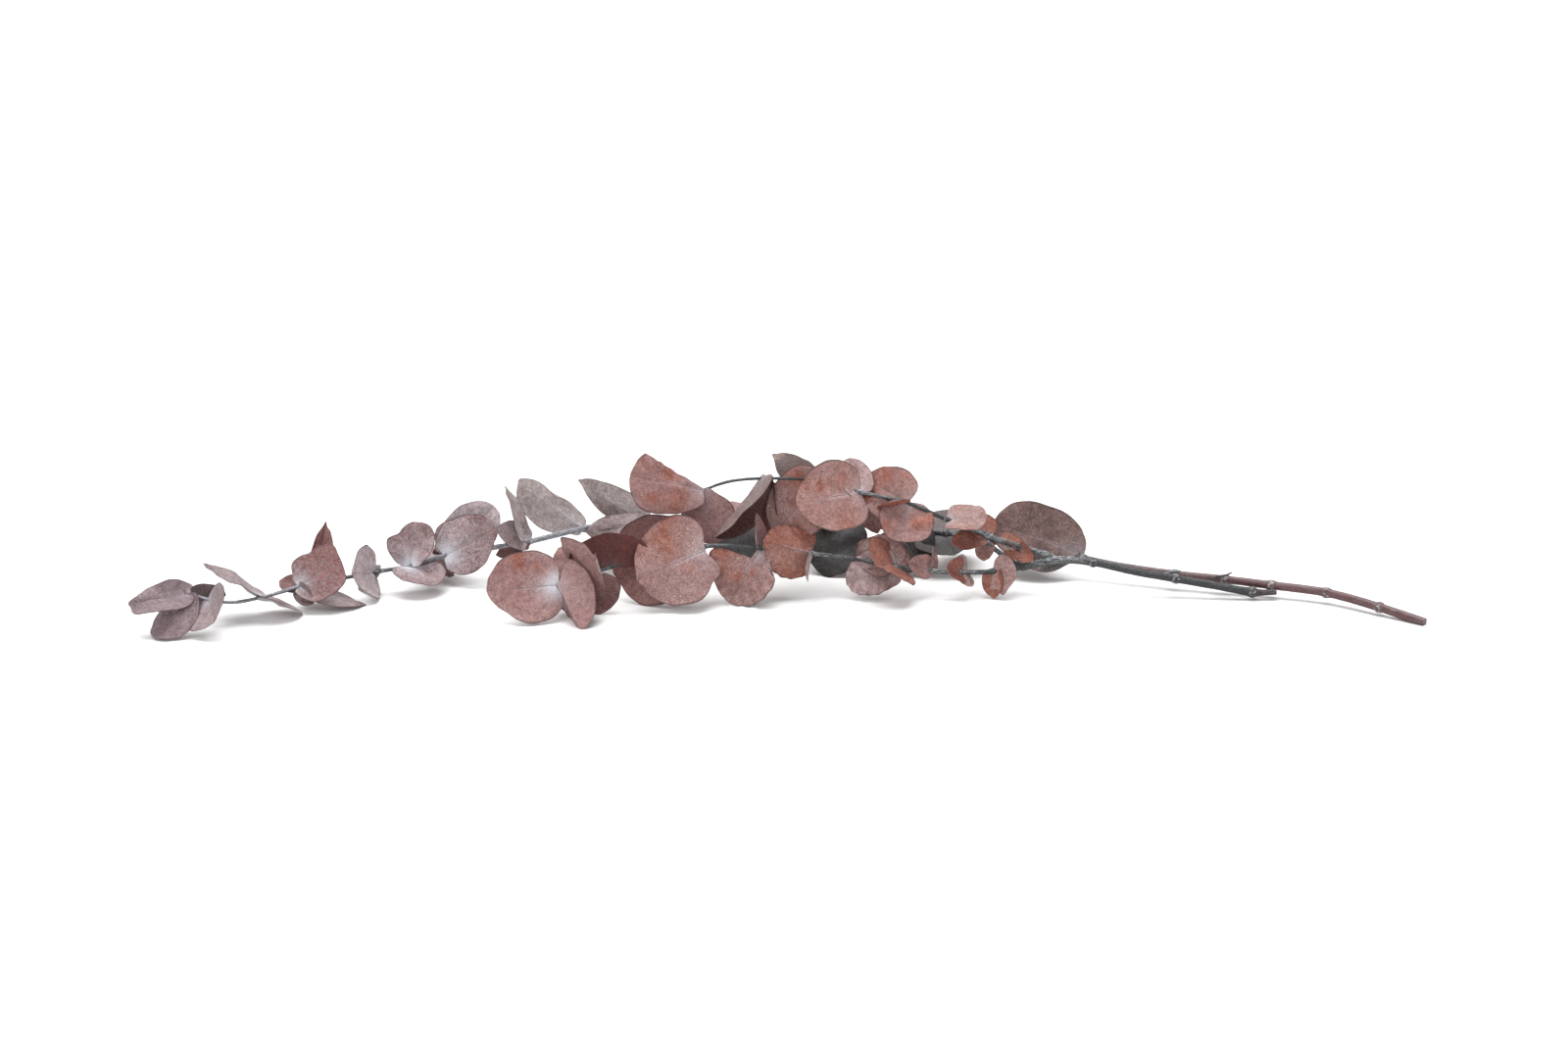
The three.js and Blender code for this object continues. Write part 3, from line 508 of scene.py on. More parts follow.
LOWER_LEAVES = (
    Leaf("l1", (-35, -2.6, -6), (1, 18.5, 4), Look.BLOOMED, cup=12, nib=0, egg=0.05,
         rim=(Bump(-48, -0.1, 30), Bump(150, -0.08)),
         patches=(Patch(0.75, 0.5, 0.16, 1.4), Patch(0.35, 0.2, 0.14, 1.2), Patch(0.6, 0.3, 0.1))),
    Leaf("l1", (12, -22, -11), (11, 8.5, -9), Look.ROSE, fold=44, heart=0.55, pale_face=1, nib=0,
         shift=(0, 0, -3), rim=(Bump(160, 0.16, 18),)),
    Leaf("l2", (9, 9, -18), (9.5, -15.5, -2), Look.ROSE, cup=16, roll=(0, 1.6), shift=(-2, 0.3, 2),
         rim=(Bump(-85, 0.13, 13), Bump(100, -0.1, 30)),
         patches=(Patch(0.2, 0.3, 0.25, 0.8), Patch(-0.5, 0.3, 0.15))),
    Leaf("l2", (3, -20, -2), (-17, -2, 1), Look.RUSSET, cup=14, shift=(0, 0, 4)),
    Leaf("l2", (-13, 14, 10), (9, 8, 2), Look.ROSE, cup=12),
    Leaf("l3", (-1, 17, -3), (20, -2, 5), Look.MAROON, cup=12, curl=8),
    Leaf("l4", (-45, -12, 6), (5, 22, 1), Look.RUSSET, cup=18, heart=0.05, egg=-0.22,
         shift=(0, 0, 3), roll=(1.2, 0), rim=(Bump(-70, 0.07),), patches=(Patch(-0.9, 0.6, 0.3, 1.2),)),
    Leaf("l4", (-33.5, -14.5, -11), (8, 21, 7), Look.PINK, cup=8, heart=0.26, nib=0,
         shift=(0, -2.4, -2), pleat=0.5, rim=(Bump(-122, -0.17), Bump(0, -0.03, 40)),
         patches=(Patch(0.6, 0.35, 0.35, 1.1), Patch(0.5, 0.7, 0.2, 0.7), Patch(-0.2, 0.3, 0.12))),
    Leaf("l5", (-16, -27.5, -3), (-17.6, 6.5, 3), Look.RIDGED, fold=12, cup=14, wave=1.6, pleat=1.1,
         rim=(Bump(84, 0.14, 18), Bump(-130, -0.42, 32)), gap=Gap(103, 200), nib=0,
         patches=(Patch(0.85, 0.4, 0.4, 1.3), Patch(0.2, 0.55, 0.12), Patch(-0.1, 0.4, 0.1))),
    Leaf("l5", (-1, 17, 2), (3, 0, 8), Look.ROSE, cup=40, shift=(-1.5, 0, -1)),
    Leaf("l6", (-23.5, 6.2, -9), (-3.5, -14, -5.5), Look.RUST, fold=22, pale_face=1, pleat=0.7,
         rim=(Bump(-140, 0.2, 18),),
         patches=(Patch(0.5, 0.7, 0.3, 1.6), Patch(0.3, 0.3, 0.25, 1.2), Patch(-0.6, 0.5, 0.15))),
    Leaf("l6", (-2.5, -13.5, -2), (1, 0.3, 7), Look.PINK, cup=16),
    Leaf("l7", (-11, 0.5, -18), (-12, 12.5, 2), Look.RUST, fold=14, cup=12, heart=0.3, egg=-0.1,
         pleat=0.4, patches=(Patch(-0.9, 0.0, 0.2, 1.3),)),
    Leaf("l7", (-25, -8, -3), (-4, 11.5, 3), Look.CHALKY, cup=16, pleat=1.0, nib=0,
         rim=(Bump(-112, -0.14),), patches=(Patch(-0.8, 0.2, 0.2, 0.8),)),
    Leaf("l7", (-18, 12, 7), (6, 10, 4), Look.BLUSH, cup=20, roll=(1.5, 0)),
    Leaf("l7", (-1.5, 11.5, 6), (8, 1, 1), Look.PINK, cup=20, patches=(Patch(-0.5, 0.5, 0.5),)),
    Leaf("l8", (1, 12, 1), (2, -0.5, 4), Look.PINK, fold=20),
    Leaf("l8", (-11.5, 3, -4), (3.5, 5.5, 2), Look.ROSE, fold=20, shift=(0, 1, 0)),
    Leaf("l9", (-7.5, 1.5, -9), (-1, 8.6, 1), Look.RUST, cup=62, fold=8, curl=24, shift=(-0.8, 0.3, 0)),
    Leaf("l9", (0, 9, 3), (3.8, 0, -1), Look.POWDERED, cup=60, fold=10),
    Leaf("l9", (4, -6.5, -3), (3.2, 1.6, 2), Look.RUST, cup=56, shift=(0.8, -0.3, 0)),
    Leaf("l10", (11, -3, -7), (0, -10, -2), Look.BLUSH, cup=22, patches=(Patch(0.2, 0.2, 0.3, 1.2),),
         rim=(Bump(60, 0.25, 11), Bump(92, -0.14, 10))),
    Leaf("l10", (0.5, -13.0, -5), (-6.2, 0, 2), Look.RUST, cup=56, curl=16),
)

SPUR_LEAVES = (
    Leaf("v1", (-1.5, -9, -3), (-5, 0.5, 2), Look.PINK, cup=20),
    Leaf("v2", (7, 0.5, -7), (1.5, -2.5, -1.5), Look.RUST, cup=24),
)


# ---- small tools ---------------------------------------------------------------------------


def smooth(low: float, high: float, value: np.ndarray) -> np.ndarray:
    """Rises smoothly from 0 at ``low`` to 1 at ``high``."""
    share = np.clip((value - low) / (high - low), 0, 1)
    return share * share * (3 - 2 * share)


def hump(away: np.ndarray, width: float | np.ndarray) -> np.ndarray:
    """Gives 1 where ``away`` is 0, and falls off smoothly on both sides over ``width``."""
    return np.exp(-((away / width) ** 2))


def clear_selection() -> None:
    """Leaves nothing selected, so the next operator acts on its own piece alone."""
    bpy.ops.object.select_all(action="DESELECT")


def take(piece: bpy.types.Object) -> None:
    """Makes a piece the only selected and the active one.

    Args:
        piece: The piece.
    """
    clear_selection()
    piece.select_set(True)
    bpy.context.view_layer.objects.active = piece


def edit_all(operator: Callable[..., set[str]], **settings: object) -> None:
    """Runs an operator on the whole mesh of the active piece.

    Args:
        operator: The mesh operator.
        settings: Its settings.
    """
    bpy.ops.object.mode_set(mode="EDIT")
    bpy.ops.mesh.select_all(action="SELECT")
    operator(**settings)
    bpy.ops.object.mode_set(mode="OBJECT")


def join(pieces: list[bpy.types.Object], name: str) -> bpy.types.Object:
    """Joins pieces into one object.

    Args:
        pieces: The pieces, each with its own mesh.
        name: The name of the joined piece.

    Returns:
        The joined piece, with its faces pointing out.
    """
    take(pieces[0])
    for piece in pieces:
        piece.select_set(True)
    bpy.ops.object.join()
    whole = bpy.context.object
    whole.name = name
    whole.data.name = name
    edit_all(bpy.ops.mesh.normals_make_consistent, inside=False)
    return whole


def read_points(mesh: bpy.types.Mesh) -> np.ndarray:
    """Reads where a mesh's points are.

    Args:
        mesh: The mesh.

    Returns:
        The points as rows of x, y, z.
    """
    points = np.empty(3 * len(mesh.vertices))
    mesh.vertices.foreach_get("co", points)
    return points.reshape(-1, 3)


def write_points(mesh: bpy.types.Mesh, points: np.ndarray) -> None:
    """Moves a mesh's points to the given rows of x, y, z."""
    mesh.vertices.foreach_set("co", np.ascontiguousarray(points, dtype=np.float32).ravel())
    mesh.update()


def keep_in_box(points: np.ndarray) -> np.ndarray:
    """Keeps points above the table and inside the box of the solids."""
    low, high = (np.array(corner) for corner in CAD_BOX)
    return np.clip(points, low, high)


def write_number(mesh: bpy.types.Mesh, name: str, values: np.ndarray) -> None:
    """Stores one number for each point of a mesh, for its material to read."""
    layer = mesh.attributes.get(name) or mesh.attributes.new(name, "FLOAT", "POINT")
    layer.data.foreach_set("value", np.ascontiguousarray(values, dtype=np.float32))


def write_colour(mesh: bpy.types.Mesh, name: str, values: np.ndarray) -> None:
    """Stores one colour with alpha for each point of a mesh, for its material to read."""
    layer = mesh.attributes.get(name) or mesh.attributes.new(name, "FLOAT_COLOR", "POINT")
    layer.data.foreach_set("color", np.ascontiguousarray(values, dtype=np.float32).ravel())


class Draws:
    """A repeatable random source, the same one that shapes the solids' rims."""

    factor: int = 16807
    size: int = 2147483647

    def __init__(self, seed: int) -> None:
        """Starts the source at a seed."""
        self.state = seed

    def next(self) -> float:
        """Draws a number from 0 to 1."""
        self.state = self.state * self.factor % self.size
        return self.state / self.size


# ---- stems ---------------------------------------------------------------------------------


@dataclass
class StemLine:
    """The smooth centre line of a stem, sampled finely along its length."""

    route: Route
    spacing: float = 0.9 * MM
    steps: int = 60
    points: np.ndarray = field(init=False)
    along: np.ndarray = field(init=False)
    marks: np.ndarray = field(init=False)

    def __post_init__(self) -> None:
        """Runs the curve through the route's stops and spaces its points evenly."""
        stops = EYE.place([stop.seen for stop in self.route])
        dense = self._through(stops)
        gone = np.linalg.norm(np.diff(dense, axis=0), axis=1)
        length = np.concatenate([[0], np.cumsum(gone)])
        self.marks = length[:: self.steps]
        count = int(length[-1] / self.spacing) + 1
        self.along = np.linspace(0, length[-1], count)
        self.points = np.stack([np.interp(self.along, length, dense[:, k]) for k in range(3)], 1)

    def _through(self, stops: np.ndarray) -> np.ndarray:
        """Joins the stops by a centripetal Catmull-Rom curve.

        Args:
            stops: The places of the stops, in rows.

        Returns:
            ``steps`` points for each stretch between stops, and the last stop.
        """
        ends = [2 * stops[0] - stops[1], *stops, 2 * stops[-1] - stops[-2]]
        share = np.arange(self.steps)[:, None] / self.steps
        stretches = []
        for a, b, c, d in zip(ends, ends[1:], ends[2:], ends[3:]):
            before, here, after = (math.sqrt(np.linalg.norm(q - p)) for p, q in ((a, b), (b, c), (c, d)))
            leave = here * ((b - a) / before - (c - a) / (before + here)) + (c - b)
            arrive = here * ((d - c) / after - (d - b) / (here + after)) + (c - b)
            cubic = 2 * (b - c) + leave + arrive
            square = 3 * (c - b) - 2 * leave - arrive
            stretches.append(b + share * (leave + share * (square + share * cubic)))
        return np.concatenate([*stretches, stops[-1:]])

    def node_marks(self) -> np.ndarray:
        """Gives the distances along the stem of its leaf nodes."""
        return np.array([mark for mark, stop in zip(self.marks, self.route) if stop.node])


@dataclass
class Stem:
    """A round stem: it tapers, swells at its leaf nodes and has a ring on each side of them.

    ``swell`` and ``ring`` are shares of the radius there.
    """

    name: str
    route: Route
    girth: float = 1.0
    swell: float = 0.34
    swell_reach: float = 1.3 * MM
    ring: float = 0.12
    ring_reach: float = 0.32 * MM
    ring_offset: float = 1.1 * MM
    roundness: int = 4
    lump_size: float = 6 * MM
    lump_height: float = 0.28 * MM
    smooth_angle: float = math.radians(50)
    node_reach: float = 2 * MM
    wax_at_side: float = 0.6
    painted_highlight_on_top: float = 0.5
    grain_squeeze: float = 0.1

    def build(self) -> bpy.types.Object:
        """Models the stem as a curve of changing radius and turns it into a mesh.

        Returns:
            The stem, with the colours of its bark stored.
        """
        line = StemLine(self.route)
        clear_selection()
        bpy.ops.curve.primitive_bezier_curve_add()
        piece = bpy.context.object
        piece.name = self.name
        curve = piece.data
        curve.splines.clear()
        spline = curve.splines.new("POLY")
        spline.points.add(len(line.points) - 1)
        spline.points.foreach_set("co", np.c_[line.points, np.ones(len(line.points))].ravel())
        spline.points.foreach_set("radius", self.radii(line) / MM)
        curve.dimensions = "3D"
        curve.bevel_depth = MM
        curve.bevel_resolution = self.roundness
        curve.use_fill_caps = True
        piece.matrix_world.identity()
        bpy.ops.object.convert(target="MESH")
        self.roughen(piece)
        self.mark(piece.data, line)
        return piece

    def radii(self, line: StemLine) -> np.ndarray:
        """Works out how thick the stem is along its length.

        Args:
            line: The stem's centre line.

        Returns:
            The radius at each point of the line, in metres.
        """
        plain = np.interp(line.along, line.marks, [MM * stop.radius for stop in self.route])
        grown = np.ones_like(plain)
        for node in line.node_marks():
            away = line.along - node
            grown += self.swell * hump(away, self.swell_reach)
            for offset in (-self.ring_offset, self.ring_offset):
                grown += self.ring * hump(away - offset, self.ring_reach)
        return plain * grown * self.girth

    def roughen(self, piece: bpy.types.Object) -> None:
        """Gives the bark its shallow lumps.

        Args:
            piece: The smooth stem.
        """
        lumps = bpy.data.textures.new("bark_lumps", "CLOUDS")
        lumps.noise_scale = self.lump_size
        lumps.noise_depth = 3
        take(piece)
        bark = piece.modifiers.new("bark", "DISPLACE")
        bark.texture = lumps
        bark.texture_coords = "LOCAL"
        bark.strength = self.lump_height
        bark.mid_level = 0.5
        bpy.ops.object.modifier_apply(modifier=bark.name)
        bpy.ops.object.shade_smooth_by_angle(angle=self.smooth_angle)
        write_points(piece.data, keep_in_box(read_points(piece.data)))

    def mark(self, mesh: bpy.types.Mesh, line: StemLine) -> None:
        """Stores the colour of the bark, its wax, which is thicker on the upper side as a painted
        highlight, and the nearness of a leaf node.

        Args:
            mesh: The stem's mesh.
            line: The stem's centre line.
        """
        points = read_points(mesh)
        nearest = np.array([np.argmin(((line.points - p) ** 2).sum(1)) for p in points])
        along = line.along[nearest]
        tints = np.array([stop.bark.value.tint for stop in self.route])
        tint = np.stack([np.interp(along, line.marks, tints[:, k]) for k in range(3)], axis=1)
        wax = np.interp(along, line.marks, [stop.bark.value.wax for stop in self.route])
        node = np.zeros(len(points))
        for mark in line.node_marks():
            node = np.maximum(node, hump(along - mark, self.node_reach))
        outward = points - line.points[nearest]
        top = outward[:, 2] / np.maximum(np.linalg.norm(outward, axis=1), TINY)
        # The wax grows towards the upper side: a painted highlight along the top of the stem.
        write_colour(mesh, "tint", np.c_[tint, wax * (self.wax_at_side + self.painted_highlight_on_top * top)])
        run = np.c_[along * self.grain_squeeze, outward[:, 1:], np.ones(len(points))]
        write_colour(mesh, "grain", run)
        write_number(mesh, "node", node)


# ---- leaves --------------------------------------------------------------------------------


@dataclass
class LeafBlank:
    """A flat leaf, modelled once and then copied and bent for each leaf.

    Its columns run from rim to rim across the midrib and are closest at the midrib and at
    the rims.  Its rows leave the midrib like side veins, and meet at the stalk and the tip.
    """

    name: str
    columns: tuple[float, ...]
    rows: int
    piece: bpy.types.Object = field(init=False)
    across: np.ndarray = field(init=False)
    angle: np.ndarray = field(init=False)

    merge_distance: float = 1e-5
    plain: Leaf = Leaf("", (0, 1, 0), (1, 0, 0), Look.ROSE)

    def __post_init__(self) -> None:
        """Shapes the blank from a grid, whose ends close up at the stalk and the tip."""
        stops = np.array([-c for c in self.columns[:0:-1]] + list(self.columns))
        clear_selection()
        bpy.ops.mesh.primitive_grid_add(
            x_subdivisions=len(stops) - 1, y_subdivisions=self.rows, size=2
        )
        self.piece = bpy.context.object
        self.piece.name = self.name
        mesh = self.piece.data
        grid = read_points(mesh)
        column = np.rint((grid[:, 0] + 1) / 2 * (len(stops) - 1)).astype(int)
        across = stops[column]
        angle = math.pi * (1 - grid[:, 1]) / 2
        write_number(mesh, "across", across)
        write_number(mesh, "angle", angle)
        x, y = Blade.flat(across, angle, self.plain)
        write_points(mesh, np.stack([x, y, np.zeros_like(x)], axis=1))
        edit_all(bpy.ops.mesh.remove_doubles, threshold=self.merge_distance)
        self.across = self._read("across")
        self.angle = self._read("angle")
        body = self.piece.vertex_groups.new(name="body")
        for index, share in enumerate(1 - np.abs(self.across) ** 3):
            body.add([index], float(share), "REPLACE")

    def _read(self, name: str) -> np.ndarray:
        """Reads a number stored at each point.

        Args:
            name: The name that it is stored under.

        Returns:
            The numbers.
        """
        mesh = self.piece.data
        values = np.empty(len(mesh.vertices), dtype=np.float32)
        mesh.attributes[name].data.foreach_get("value", values)
        return values.astype(float)

    def copy(self) -> bpy.types.Object:
        """Copies the blank.

        Returns:
            The copy, with its own mesh.
        """
        piece = self.piece.copy()
        piece.data = self.piece.data.copy()
        bpy.context.collection.objects.link(piece)
        return piece

    def remove(self) -> None:
        """Takes the blank out of the scene once every leaf is made."""
        bpy.data.objects.remove(self.piece)


@dataclass
class Blade:
    """One leaf's shape: the flat blank bent as the leaf's row says.

    Heights and the groove's width are in millimetres, ``notch_width`` is in radians and
    ``tear_softness`` in degrees.  A name with ``small`` holds for leaves shorter than
    ``small_chord``, as a share of what the others have.  ``swells`` are the blade's broad
    unevennesses, as waves over the leaf and strength.  All else without MM is a share or a
    count.
    """

    leaf: Leaf
    base: np.ndarray
    draws: Draws
    fine: np.random.Generator

    notch_width: float = 0.42
    nib_sharpness: float = 30
    rib_ease: float = 1.4
    tear_softness: float = 7
    small_chord: float = 20 * MM
    thickness: float = 0.55 * MM
    small_thickness: float = 0.7
    small_ripple: float = 0.4
    small_relief: float = 0.35
    small_midrib: float = 0.6
    veins: int = 6
    vein_lean: float = 0.55
    vein_bow: float = 0.12
    vein_stagger: float = 0.45
    swells: tuple[tuple[float, float], ...] = ((0.6, 0.5), (1.0, 0.35), (1.7, 0.16), (2.6, 0.08))
    swell_height: float = 0.6
    puff_height: float = 0.12
    puff_spread: float = 1.1
    pleats_per_vein: float = 0.75
    roll_start: float = 0.72
    groove_depth: float = 0.3
    groove_fade: float = 0.7
    groove_width: tuple[float, float] = (0.35, 0.45)
    midrib_width: float = 0.55 * MM
    midrib_height: float = 0.25
    stalk_height: float = 0.5
    stalk_reach: float = 5 * MM
    ragged_counts: tuple[int, ...] = (3, 5, 8, 13)
    ragged_size: float = 0.02
    ragged_loss: float = 0.012
    stray_blotch: float = 0.35
    stray_shade: float = 0.1
    wax_reach: float = 0.35
    wax_squeeze: float = 1.6

    def __post_init__(self) -> None:
        """Works out the leaf's own axes and draws its ripple."""
        self.base = self.base + EYE.turn(self.leaf.shift)
        chord = EYE.turn(self.leaf.reach)
        side = EYE.turn(self.leaf.half)
        self.length = np.linalg.norm(chord)
        self.half_width = np.linalg.norm(side)
        self.small = self.length < self.small_chord
        size = self.small_ripple if self.small else 1
        height = MM * self.leaf.wave * (0.5 + self.draws.next()) * size
        count = 2 + int(3 * self.draws.next())
        self.ripple = (height, count, FULL_TURN * self.draws.next())
        bends = (self.leaf.fold, self.leaf.cup, self.leaf.curl)
        self.fold, self.cup, self.curl = map(math.radians, bends)
        forward = chord / self.length
        if self.curl:
            self.length *= (self.curl / 2) / math.sin(self.curl / 2)
        side -= forward * (side @ forward)
        self.side = side / np.linalg.norm(side)
        up = np.cross(self.side, forward)
        tilt = -self.curl / 2
        self.ahead = forward * math.cos(tilt) + up * math.sin(tilt)
        self.above = up * math.cos(tilt) - forward * math.sin(tilt)

    @staticmethod
    def flat(across: np.ndarray, angle: np.ndarray, leaf: Leaf) -> tuple[np.ndarray, np.ndarray]:
        """Places the blank's points in the flat leaf.

        Args:
            across: From -1 at the left rim through 0 at the midrib to 1 at the right one.
            angle: Round the rim, from 0 at the tip to pi at the stalk.
            leaf: The leaf whose outline is wanted.

        Returns:
            Shares of the half-width and of the length.
        """
        notch = leaf.heart * hump(math.pi - angle, Blade.notch_width)
        point = leaf.nib * np.exp(-Blade.nib_sharpness * angle**2)
        rim_y = (1 - leaf.heart) / 2 + (1 + leaf.heart) / 2 * np.cos(angle) + notch + point
        rim_x = np.sin(angle) * (1 - leaf.egg * np.cos(angle))
        rib_y = (1 + leaf.nib) * ((1 + np.cos(angle)) / 2) ** Blade.rib_ease
        share = np.abs(across)
        if leaf.gap is not None:
            turned = np.degrees(angle) * np.sign(across)
            soft = Blade.tear_softness
            ends = (leaf.gap.start, leaf.gap.end)
            low, high = (smooth(end - soft, end + soft, turned) for end in ends)
            share = share * (1 - leaf.gap.depth * (low - high))
        return np.sign(across) * share * rim_x, rib_y + share * (rim_y - rib_y)

    def lift(self, across: np.ndarray, angle: np.ndarray, x: np.ndarray, y: np.ndarray) -> np.ndarray:
        """Gives how far each point stands off the smoothly bent blade, in metres.

        Args:
            across, angle: The point's place in the blank; angle is not used.
            x, y: Its place in the flat leaf, as shares.

        Returns:
            The height towards the upper face.
        """
        heart = self.leaf.heart
        away = (y - (1 - heart) / 2) / ((1 + heart) / 2)
        ring = np.minimum(np.hypot(x, away), 1.05)
        turned = np.arctan2(x, away)
        height, count, turn = self.ripple
        total = height * ring**2 * np.sin(count * turned + turn)
        size = self.small_relief if self.small else 1.0
        free = smooth(0.02, 0.3, y)
        for cycles, strength in self.swells:
            for _ in range(2):
                way, start = self.fine.uniform(0, FULL_TURN), self.fine.uniform(0, FULL_TURN)
                wave = np.sin(FULL_TURN * cycles * (x * math.cos(way) + 2 * y * math.sin(way)) + start)
                total += MM * size * strength * self.swell_height * wave * free
        rib = self.rib(x, y)
        between = 0.5 - 0.5 * np.cos(FULL_TURN * rib)
        share = np.abs(across)
        puff = np.sin(math.pi * np.minimum(share * self.puff_spread, 1))
        total += self.puff_height * MM * size * between * puff
        total += MM * self.leaf.pleat * share * np.sin(FULL_TURN * self.pleats_per_vein * rib) * free
        total += MM * smooth(self.roll_start, 1.0, share) * np.where(across < 0, *self.leaf.roll)
        narrow, wider = self.groove_width
        width = (narrow + wider * (1 - np.clip(y, 0, 1))) * MM
        groove = self.groove_depth * MM * size * hump(x * self.half_width, width)
        total -= groove * (1 - self.groove_fade * y)
        return total

    def rib(self, x: np.ndarray, y: np.ndarray) -> np.ndarray:
        """Counts side veins: whole on each vein, which leaves the midrib and leans to the tip."""
        start = y - self.vein_lean * np.abs(x) + self.vein_bow * x * x
        return self.veins * start + np.where(x < 0, self.vein_stagger, 0.0)

    def rim_place(self, degrees: float) -> np.ndarray:
        """Finds a place on the rim of the flat leaf.

        Args:
            degrees: Where it is round the rim, as a bump's place is.

        Returns:
            How far it is across and along, in metres.
        """
        angle = np.array([math.radians(abs(degrees))])
        x, y = self.flat(np.array([math.copysign(1.0, degrees)]), angle, self.leaf)
        return np.array([x[0] * self.half_width, y[0] * self.length])

    def creased(self, x: np.ndarray, y: np.ndarray, lift: np.ndarray) -> tuple[np.ndarray, ...]:
        """Folds the part of the flat leaf beyond its crease.

        Args:
            x, y: Across and along the flat leaf, in metres.
            lift: The height off the blade, in metres.

        Returns:
            The same three after the fold.
        """
        crease = self.leaf.crease
        if crease is None:
            return x, y, lift
        start = self.rim_place(crease.start)
        way = self.rim_place(crease.end) - start
        way /= np.linalg.norm(way)
        beyond = (x - start[0]) * way[1] - (y - start[1]) * way[0]
        radius = crease.radius * MM
        full = math.radians(abs(crease.turn))
        turned = np.clip(beyond / radius, 0, full)
        rest = np.clip(beyond - radius * full, 0, None)
        out = np.minimum(beyond, 0) + radius * np.sin(turned) + rest * math.cos(full)
        rise = radius * (1 - np.cos(turned)) + rest * math.sin(full)
        moved = out - beyond
        return x + moved * way[1], y - moved * way[0], lift + math.copysign(1.0, crease.turn) * rise

    def bend(self, x: np.ndarray, y: np.ndarray, lift: np.ndarray) -> np.ndarray:
        """Bends the flat blade and puts it where it grows.

        Args:
            x, y: Across and along the flat leaf, in metres.
            lift: The height off the bent blade, in metres.

        Returns:
            Rows of places in the frame.
        """
        edge = self.fold + self.cup * np.abs(x) / self.half_width
        if abs(self.cup) > FLAT_ANGLE:
            reach = self.half_width / self.cup
            side = (np.sin(edge) - math.sin(self.fold)) * reach
            rise = (math.cos(self.fold) - np.cos(edge)) * reach
        else:
            side = np.abs(x) * math.cos(self.fold)
            rise = np.abs(x) * math.sin(self.fold)
        side = side * np.sign(x)
        rise = rise + lift
        bent = self.curl * y / self.length
        along = y
        height = np.zeros_like(y)
        if abs(self.curl) > FLAT_ANGLE:
            along = self.length / self.curl * np.sin(bent)
            height = self.length / self.curl * (1 - np.cos(bent))
        forward = along - rise * np.sin(bent)
        upward = height + rise * np.cos(bent)
        return (
            self.base
            + side[:, None] * self.side
            + forward[:, None] * self.ahead
            + upward[:, None] * self.above
        )

    def bumps(self, angle: np.ndarray, across: np.ndarray) -> np.ndarray:
        """Works out how much the rim stands out.

        Args:
            angle, across: The points' places in the blank.

        Returns:
            A factor for each point, which fades towards the midrib.
        """
        turned = np.degrees(angle) * np.where(across < 0, -1, 1)
        total = np.ones_like(angle)
        for bump in self.leaf.rim:
            away = (turned - bump.at + 180) % 360 - 180
            total += bump.grow * hump(away, bump.width)
        return 1 + (total - 1) * np.abs(across) ** 1.5

    def stretch(self, x: np.ndarray, y: np.ndarray, share: np.ndarray) -> tuple[np.ndarray, np.ndarray]:
        """Moves the flat leaf's points out from its middle by the given factor."""
        middle = (1 - self.leaf.heart) / 2
        return x * share, middle + (y - middle) * share

    def grow(self, blank: LeafBlank) -> bpy.types.Object:
        """Makes the leaf from a copy of the blank.

        Args:
            blank: The flat leaf to copy.

        Returns:
            The leaf as a closed blade with its colours stored.
        """
        across, angle = blank.across, blank.angle
        x, y = self.flat(across, angle, self.leaf)
        lift = self.lift(across, angle, x, y)
        x, y = self.stretch(x, y, self.bumps(angle, across) * self._ragged(angle, across))
        piece = blank.copy()
        write_points(piece.data, self.bend(*self.creased(x * self.half_width, y * self.length, lift)))
        upper = len(piece.data.vertices)
        take(piece)
        blade = piece.modifiers.new("blade", "SOLIDIFY")
        blade.thickness = self.thickness * (self.small_thickness if self.small else 1)
        blade.offset = 0
        blade.vertex_group = "body"
        blade.thickness_vertex_group = 0.5
        bpy.ops.object.modifier_apply(modifier=blade.name)
        self._thicken_midrib(piece.data, upper, x, y)
        write_points(piece.data, keep_in_box(read_points(piece.data)))
        self._mark(piece.data, upper, x, y)
        return piece

    def _ragged(self, angle: np.ndarray, across: np.ndarray) -> np.ndarray:
        """Gives the rim its slight unevenness.

        Args:
            angle, across: The points' places in the blank.

        Returns:
            A factor for each point, which fades towards the midrib.
        """
        uneven = np.zeros_like(angle)
        signed = angle * np.sign(across)
        for count in self.ragged_counts:
            start = self.fine.uniform(0, FULL_TURN)
            uneven += np.sin(count * signed + start) * self.ragged_size / math.sqrt(count)
        return 1 + (uneven - self.ragged_loss) * np.abs(across) ** 3 * smooth(0, 0.5, np.sin(angle))

    def _thicken_midrib(self, mesh: bpy.types.Mesh, upper: int, x: np.ndarray, y: np.ndarray) -> None:
        """Raises the midrib on the underside, thickest at the stalk.

        Args:
            mesh: The blade, upper face first.
            upper: How many points the upper face has.
            x, y: Their places in the flat leaf.
        """
        points = read_points(mesh)
        through = points[upper:] - points[:upper]
        through /= np.maximum(np.linalg.norm(through, axis=1), TINY)[:, None]
        ridge = hump(x * self.half_width, self.midrib_width)
        stalk = self.stalk_height * hump(y * self.length, self.stalk_reach)
        height = MM * (self.midrib_height * (1 - np.clip(y, 0, 1)) + stalk)
        points[upper:] += through * (ridge * height * (self.small_midrib if self.small else 1))[:, None]
        write_points(mesh, points)

